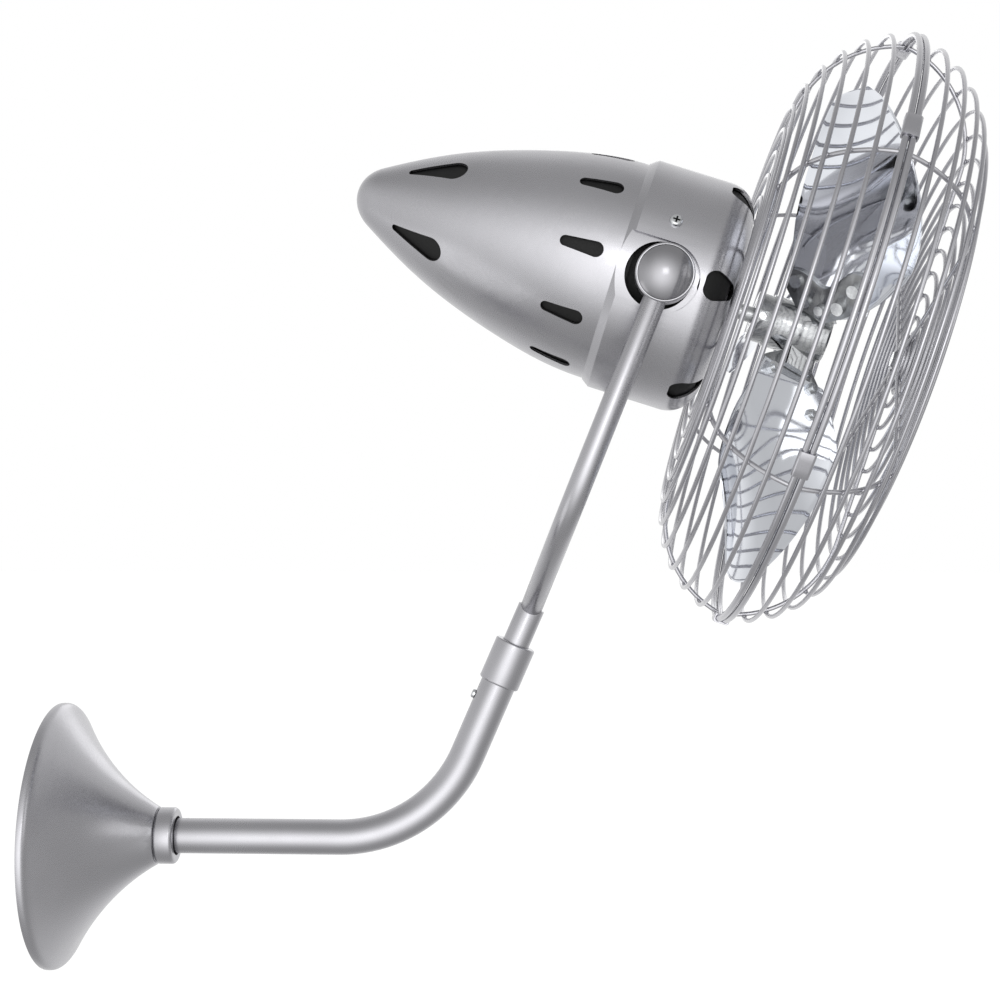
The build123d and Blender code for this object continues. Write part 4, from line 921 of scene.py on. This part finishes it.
class FAN_OT_arm(bpy.types.Operator):
    """Canopy, arm tube, sleeve, yoke and pivots"""

    bl_idname = "fan.arm"
    bl_label = "Arm and yoke"

    def execute(self, context):
        soft = sizes().edge_round
        for node in ("canopy", "canopy_collar", "arm_tube", "arm_sleeve"):
            skin(node, "wall_arm", "satin_nickel", rounding=soft)
        for node in ("arm_screw", "collar_screw"):
            skin(node, "wall_arm", "bright_screw", angle=CRISP)
        for node in ("yoke_spigot", "yoke_arm_near", "yoke_arm_far"):
            skin(node, "yoke", "satin_nickel", rounding=soft)
        for node in ("pivot_cup_near", "pivot_cup_far"):
            skin(node, "yoke", "satin_nickel", exact=True)
        skin("pivot_caps", "yoke", "satin_nickel", look="cap_nickel", rounding=soft)
        return {"FINISHED"}


CARRIED = {
    "mounting_plate": "zinc_steel",
    "arm_flange": "zinc_steel",
    "flange_screws": "bright_screw",
    "wire_bushing": "black_plastic",
    "pivot_bolts": "bright_screw",
    "friction_washers": "black_plastic",
    "motor_frame": "cast_housing",
    "motor_cover": "cast_housing",
    "cover_screws": "bright_screw",
    "stator": "core_plates",
    "windings": "coil_copper",
    "motor_bearings": "ground_steel",
    "rotor_core": "core_plates",
}


class FAN_OT_carried(bpy.types.Operator):
    """Finishes of the CAD nodes that stay as they are"""

    bl_idname = "fan.carried"
    bl_label = "Inner parts"

    def execute(self, context):
        for node, look in CARRIED.items():
            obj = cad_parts[node]
            obj.data.materials.clear()
            obj.data.materials.append(finish_for(look))
        return {"FINISHED"}


# ---------------------------------------------------------------- studio

CAMERA_PLACE = (0.33296, -1.04984, 0.21492)
CAMERA_TURN = math.radians(2.665)
CAMERA_LENS = 59.60
FLOOR_SIZE = 60
FLOOR_MIDDLE = (0.3, 0, -1.15)
KEY_DIRECTION = (-0.10, -0.99, -0.06)
KEY_LEVEL = 2.2
AMBIENT_LEVEL = 0.55
# A weaker glow to the left, which starts and is full at these shares of that direction.
SIDE_DIRECTION = (-1, 0, 0)
SIDE_LEVEL = 0.35
SIDE_SPAN = (0.60, 0.95)
FLOOR_GLOW = 1.15
FLOOR_GLOW_SHARE = 0.85
# Where the soft boxes point, then the name, place, width and height, and power of each.
AIM = Vector((0.38, 0, 0.3))
SOFT_BOXES = (
    ("box_front", (0.47, -1.95, 0.62), (0.5, 0.5), 1.2),
    ("box_left", (-1.5, -0.6, -0.7), (1.1, 1.1), 2),
    ("box_right", (2.1, -1.1, 0.7), (0.9, 1.0), 2),
    ("box_back", (0.6, 2.2, 0.9), (1.2, 0.8), 2),
)
# Degrees away from the key direction, and how bright reflections of the studio are there.
STUDIO_LEVELS = (
    (180, 1.0), (150, 0.98), (130, 0.84), (110, 0.58), (90, 0.52), (68, 0.56), (54, 0.72),
    (42, 1.0), (30, 1.4), (18, 1.85), (0, KEY_LEVEL))


def seen_directly(tree):
    """One where a camera, mirror or glass ray meets the surface"""
    paths = tree.nodes.new("ShaderNodeLightPath")
    total = paths.outputs["Is Camera Ray"]
    for name in ("Is Glossy Ray", "Is Transmission Ray"):
        add = tree.nodes.new("ShaderNodeMath")
        add.operation = "MAXIMUM"
        tree.links.new(total, add.inputs[0])
        tree.links.new(paths.outputs[name], add.inputs[1])
        total = add.outputs[0]
    return paths, total


def sky_towards(tree, direction):
    """How far each part of the sky lies in one direction, from -1 to 1"""
    coordinates = tree.nodes.new("ShaderNodeTexCoord")
    towards = tree.nodes.new("ShaderNodeVectorMath")
    towards.operation = "DOT_PRODUCT"
    towards.inputs[1].default_value = Vector(direction).normalized()
    tree.links.new(coordinates.outputs["Generated"], towards.inputs[0])
    return towards.outputs["Value"]


def grey(level):
    """Opaque grey"""
    return (level, level, level, 1)


def studio_world():
    """White beyond the object, soft grey light, and in reflections a glow behind the camera"""
    world = bpy.data.worlds.new("studio")
    bpy.context.scene.world = world
    world.use_nodes = True
    tree = world.node_tree
    tree.nodes.clear()
    out = tree.nodes.new("ShaderNodeOutputWorld")
    light = tree.nodes.new("ShaderNodeBackground")
    light.inputs["Color"].default_value = grey(1)
    light.inputs["Strength"].default_value = AMBIENT_LEVEL
    studio = tree.nodes.new("ShaderNodeBackground")
    studio.inputs["Strength"].default_value = KEY_LEVEL
    paths, direct = seen_directly(tree)
    span = tree.nodes.new("ShaderNodeMapRange")
    span.inputs["From Min"].default_value = -1
    tree.links.new(sky_towards(tree, KEY_DIRECTION), span.inputs["Value"])
    ramp = tree.nodes.new("ShaderNodeValToRGB")
    stops = ramp.color_ramp.elements
    for index, (angle, level) in enumerate(STUDIO_LEVELS):
        place = (math.cos(math.radians(angle)) + 1) / 2
        stop = stops[0] if index == 0 else stops[-1] if angle == 0 else stops.new(place)
        stop.position = place
        stop.color = grey(level / KEY_LEVEL)
    tree.links.new(span.outputs[0], ramp.inputs["Fac"])
    mix = tree.nodes.new("ShaderNodeMix")
    mix.data_type = "RGBA"
    mix.inputs[7].default_value = grey(1 / KEY_LEVEL)
    lift = tree.nodes.new("ShaderNodeMapRange")
    lift.inputs["From Min"].default_value = SIDE_SPAN[0]
    lift.inputs["From Max"].default_value = SIDE_SPAN[1]
    lift.inputs["To Max"].default_value = SIDE_LEVEL / KEY_LEVEL
    tree.links.new(sky_towards(tree, SIDE_DIRECTION), lift.inputs["Value"])
    lifted = tree.nodes.new("ShaderNodeVectorMath")
    tree.links.new(ramp.outputs["Color"], lifted.inputs[0])
    tree.links.new(lift.outputs[0], lifted.inputs[1])
    tree.links.new(paths.outputs["Is Camera Ray"], mix.inputs[0])
    tree.links.new(lifted.outputs[0], mix.inputs[6])
    tree.links.new(mix.outputs[2], studio.inputs["Color"])
    choose = tree.nodes.new("ShaderNodeMixShader")
    tree.links.new(direct, choose.inputs[0])
    tree.links.new(light.outputs[0], choose.inputs[1])
    tree.links.new(studio.outputs[0], choose.inputs[2])
    tree.links.new(choose.outputs[0], out.inputs[0])


def floor_material():
    """Pale matt floor that keeps the object's shadow and shows white to the camera"""
    material = bpy.data.materials.new("studio_floor")
    material.use_nodes = True
    tree = material.node_tree
    principled = tree.nodes["Principled BSDF"]
    principled.inputs["Base Color"].default_value = (*finishes().floor, 1)
    principled.inputs["Roughness"].default_value = 0.9
    glow = tree.nodes.new("ShaderNodeEmission")
    glow.inputs["Strength"].default_value = FLOOR_GLOW
    mix = tree.nodes.new("ShaderNodeMixShader")
    _, direct = seen_directly(tree)
    share = tree.nodes.new("ShaderNodeMath")
    share.operation = "MULTIPLY"
    share.inputs[1].default_value = FLOOR_GLOW_SHARE
    tree.links.new(direct, share.inputs[0])
    tree.links.new(share.outputs[0], mix.inputs[0])
    tree.links.new(principled.outputs[0], mix.inputs[1])
    tree.links.new(glow.outputs[0], mix.inputs[2])
    tree.links.new(mix.outputs[0], tree.nodes["Material Output"].inputs["Surface"])
    return material


def soft_box(name, place, size, power):
    """One lamp panel that faces the object and that the camera doesn't see"""
    light = bpy.data.lights.new(name, "AREA")
    light.shape = "RECTANGLE"
    light.size, light.size_y = size
    light.energy = power
    lamp = bpy.data.objects.new(name, light)
    bpy.context.scene.collection.objects.link(lamp)
    lamp.visible_camera = False
    lamp.location = place
    lamp.rotation_euler = (AIM - Vector(place)).to_track_quat("-Z", "Y").to_euler()


class FAN_OT_stage(bpy.types.Operator):
    """Camera, floor, world and soft boxes"""

    bl_idname = "fan.stage"
    bl_label = "Studio"

    def execute(self, context):
        scene = context.scene
        scene.view_settings.view_transform = "Standard"
        camera = bpy.data.cameras.new("camera")
        camera.lens = CAMERA_LENS
        camera.sensor_width = 36
        camera.clip_end = 100
        holder = bpy.data.objects.new("camera", camera)
        scene.collection.objects.link(holder)
        holder.location = CAMERA_PLACE
        holder.rotation_euler = (math.pi / 2, 0, CAMERA_TURN)
        scene.camera = holder
        bpy.ops.object.select_all(action="DESELECT")
        bpy.ops.mesh.primitive_plane_add(size=FLOOR_SIZE, location=FLOOR_MIDDLE)
        floor = fresh("floor")
        floor.data.materials.append(floor_material())
        floor.visible_glossy = False
        studio_world()
        for name, place, size, power in SOFT_BOXES:
            soft_box(name, place, size, power)
        return {"FINISHED"}


# ---------------------------------------------------------------- add-on


class FAN_PT_panel(bpy.types.Panel):
    """Sizes, colours and pieces of the fan"""

    bl_label = "Wall fan"
    bl_idname = "FAN_PT_panel"
    bl_space_type = "VIEW_3D"
    bl_region_type = "UI"
    bl_category = "Wall fan"

    def draw(self, context):
        layout = self.layout
        for group in (context.scene.fan_sizes, context.scene.fan_finishes):
            box = layout.box()
            for prop in type(group).__annotations__:
                box.prop(group, prop)
        for step in STEPS:
            layout.operator("fan." + step)


STEPS = ("stage", "carried", "arm", "housing", "guard_rear", "guard_front", "wheel_hub", "blades")
CLASSES = (
    FanSizes, FanFinishes, FAN_OT_stage, FAN_OT_carried, FAN_OT_arm, FAN_OT_housing,
    FAN_OT_guard_rear, FAN_OT_guard_front, FAN_OT_wheel_hub, FAN_OT_blades, FAN_PT_panel,
)


def register():
    for cls in CLASSES:
        bpy.utils.register_class(cls)
    bpy.types.Scene.fan_sizes = bpy.props.PointerProperty(type=FanSizes)
    bpy.types.Scene.fan_finishes = bpy.props.PointerProperty(type=FanFinishes)


def unregister():
    del bpy.types.Scene.fan_finishes
    del bpy.types.Scene.fan_sizes
    for cls in reversed(CLASSES):
        bpy.utils.unregister_class(cls)


def main():
    register()
    for step in STEPS:
        getattr(bpy.ops.fan, step)()


if __name__ == "__main__":
    main()
